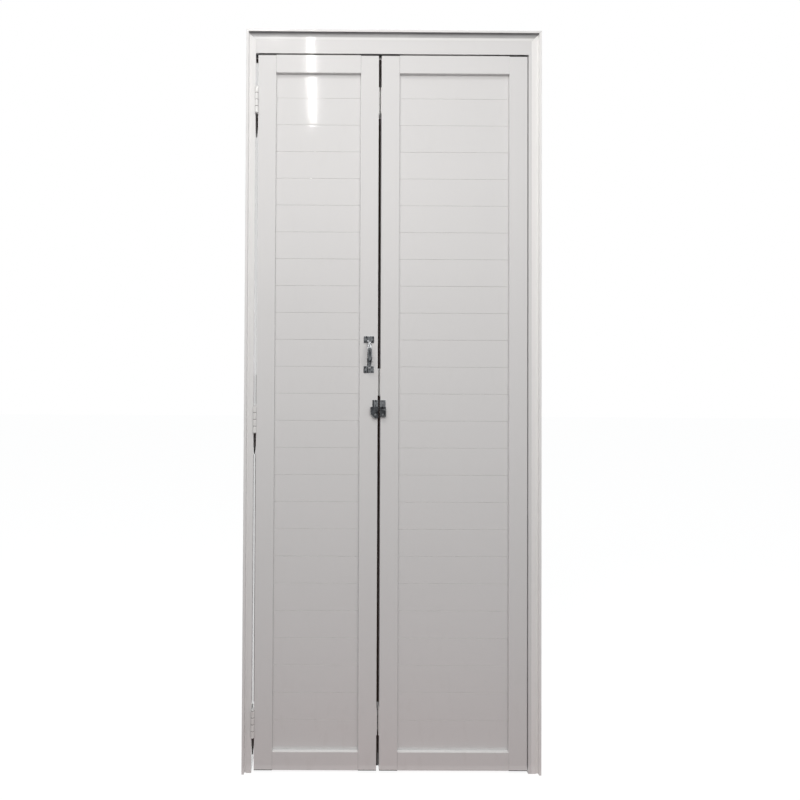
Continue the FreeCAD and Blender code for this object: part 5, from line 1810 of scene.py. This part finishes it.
@dataclass
class Studio:
    """The camera, the pale floor and background, dark sheets of painted shade behind the leaves and
    their gaps, and the lamps.
    """

    camera_spot: Point = (-0.210, -1.500, 1.140)
    camera_turn: Point = (90.651, -0.307, -0.144)
    sensor: float = 36.0
    lens: float = 23.471
    shift: Span = (0.0990, -0.0427)
    ambient: float = 0.42
    ambient_colour: Colour = (0.965, 0.99, 1.0)
    floor_size: float = 24.0
    lamps: tuple[Lamp, ...] = (
        Lamp("front_soft", spot=(0.0, -1.8, 2.10), target=(0.0, 0.0, 1.35), size=(2.2, 0.8),
             power=20.3, colour=(1.0, 0.96, 0.935), glare=False),
        Lamp("ceiling_panel", spot=(-0.65, -1.15, 3.20), target=(0.0, 0.0, 1.0), size=(0.7, 0.5),
             power=9.0, colour=(1.0, 0.97, 0.95)),
        Lamp("ceiling_tube", spot=(-0.255, -1.013, 2.52), target=(-0.255, -1.013, 0.0),
             size=(0.020, 0.714), power=1.6, colour=(1.0, 0.98, 0.96)),
    )
    # The dark of the closet, and narrow dark sheets behind the gaps that paint shade and shadow
    # into them, tapered into wedges under the hinges: left to right, or bottom to top.
    closet: tuple[Span, Span] = ((-0.396, 0.396), (0.001, 2.094))
    closet_depth: float = 0.076
    gap_depth: float = 0.0228
    hinge_gap: Span = (-0.398, -0.391)
    hinge_gap_middle: float = -0.395
    hinge_shadow_wedges: tuple[Span, ...] = ((0.032, 0.103), (0.900, 0.966), (1.826, 1.899))
    shadow_wedge_taper: float = 5.5 * MM
    hinge_top: Span = (2.046, 2.070)
    hinge_shade: Span = (-0.3955, -0.3930)
    hinge_shades: tuple[Span, ...] = ((0.184, 0.900), (1.044, 1.130))
    closing_gap: Span = (0.386, 0.3892)
    closing_foot: Span = (0.001, 0.270)
    centre_gap: Span = (-0.043, -0.035)
    centre_shadow_spans: tuple[Span, ...] = (
        (0.001, 0.104), (0.184, 1.071), (1.151, 1.884), (1.964, 2.056))
    # Cards that only reflections see: finish, middle, width and length.
    cards: tuple[tuple[Finish, Point, Point, Point], ...] = (
        (CLOSET_DARK, (-2.6, -1.7, 1.3), (0.0, 2.8, 0.0), (0.0, 0.0, 2.6)),
        (GREY_CARD, (0.1, -3.2, 2.6), (-4.4, 0.0, 0.0), (0.0, 0.0, 5.2)),
        (GREY_CARD, (0.1, -1.615, 0.004), (4.4, 0.0, 0.0), (0.0, 3.17, 0.0)))

    def build(self) -> None:
        """Sets the whole studio up."""
        self._camera()
        self._world()
        size = self.floor_size
        self._hang("floor", PALE_FLOOR, (0.0, 0.0, 0.0), (size, 0.0, 0.0), (0.0, size, 0.0))
        self._closet()
        for finish, middle, across, along in self.cards:
            self._hang("card", finish, middle, across, along, Seen.BY_GLOSS)
        for lamp in self.lamps:
            lamp.build()

    def _camera(self) -> None:
        """Places the camera."""
        data = bpy.data.cameras.new("camera")
        data.sensor_width = self.sensor
        data.lens = self.lens
        data.shift_x, data.shift_y = self.shift
        camera = bpy.data.objects.new("camera", data)
        camera.location = self.camera_spot
        camera.rotation_euler = tuple(math.radians(angle) for angle in self.camera_turn)
        bpy.context.scene.collection.objects.link(camera)
        bpy.context.scene.camera = camera
        bpy.context.scene.view_settings.view_transform = "Standard"

    def _world(self) -> None:
        """A white background over a soft even light."""
        world = bpy.data.worlds.new("pale studio")
        bpy.context.scene.world = world
        graph = Graph(world, "ShaderNodeOutputWorld")
        lights = ({"Color": self.ambient_colour, "Strength": self.ambient},
                  {"Color": WHITE, "Strength": 1.0})
        soft, white = (graph.node("ShaderNodeBackground", inputs=light) for light in lights)
        graph.blend(graph.seen_ray(), soft, white)

    def _closet(self) -> None:
        """Hangs the dark of the closet behind the leaves, and narrow dark sheets behind their gaps:
        painted shade, with tapered wedges that paint the shadows below the jamb hinges.
        """
        self._dark("closet_dark", *self.closet, self.closet_depth, Seen.BY_CAMERA)
        for up in self.hinge_shadow_wedges:
            shadow_wedge = self._dark("gap_dark_left", self.hinge_gap, up, self.gap_depth)
            Bench.pick(shadow_wedge, Pick.VERTS, lambda spot, foot=up[0]: (
                spot.z < foot + MM and spot.x > self.hinge_gap_middle))
            bpy.ops.transform.translate(value=(-self.shadow_wedge_taper, 0.0, 0.0))
            Bench.clear()
        self._dark("gap_dark_left", self.hinge_gap, self.hinge_top, self.gap_depth)
        for up in self.hinge_shades:
            self._dark("gap_shade_left", self.hinge_shade, up, self.gap_depth)
        self._dark("gap_dark_right", self.closing_gap, self.closing_foot, self.gap_depth)
        for up in self.centre_shadow_spans:
            self._dark("gap_dark_centre", self.centre_gap, up, self.gap_depth)

    def _dark(self, name: str, across: Span, up: Span, back: float,
              seen: Seen = Seen.BY_ALL) -> Object:
        """Hangs one dark sheet of painted shade that faces the front, so far back, between its four
        sides.
        """
        middle = (sum(across) / 2, back, sum(up) / 2)
        return self._hang(name, CLOSET_DARK, middle, (across[1] - across[0], 0.0, 0.0),
                          (0.0, 0.0, up[1] - up[0]), seen)

    @staticmethod
    def _hang(name: str, finish: Finish, middle: Point, across: Point, along: Point,
              seen: Seen = Seen.BY_ALL) -> Object:
        """Hangs or lays one sheet of the studio.

        Args:
            name: The sheet's name.
            finish: Its finish.
            middle: Its middle.
            across: Its width and the direction of that.
            along: Its length and the direction of that.
            seen: Which rays see it.

        Returns:
            The sheet.
        """
        sheet = Bench.sheet(name, Vector(middle), Vector(across), Vector(along))
        sheet.data.materials.append(finish.material())
        for ray in seen.value:
            setattr(sheet, f"visible_{ray}", False)
        return sheet


def main() -> None:
    """Builds the looks of the door and its studio."""
    logging.basicConfig(level=logging.INFO, format="%(name)s: %(message)s")
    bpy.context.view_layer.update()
    Studio().build()
    Mouldings().build()
    for seed, leaf in enumerate(("left_leaf", "right_leaf"), 1):
        SlatPanel(leaf, seed).build()
        PileSeal(leaf, seed).build()
    for row in HingeRow:
        ButtHinges(row.value).build()
    BowPull().build()
    SlideLatch().build()
    Dresser().build()


if __name__ == "__main__":
    main()
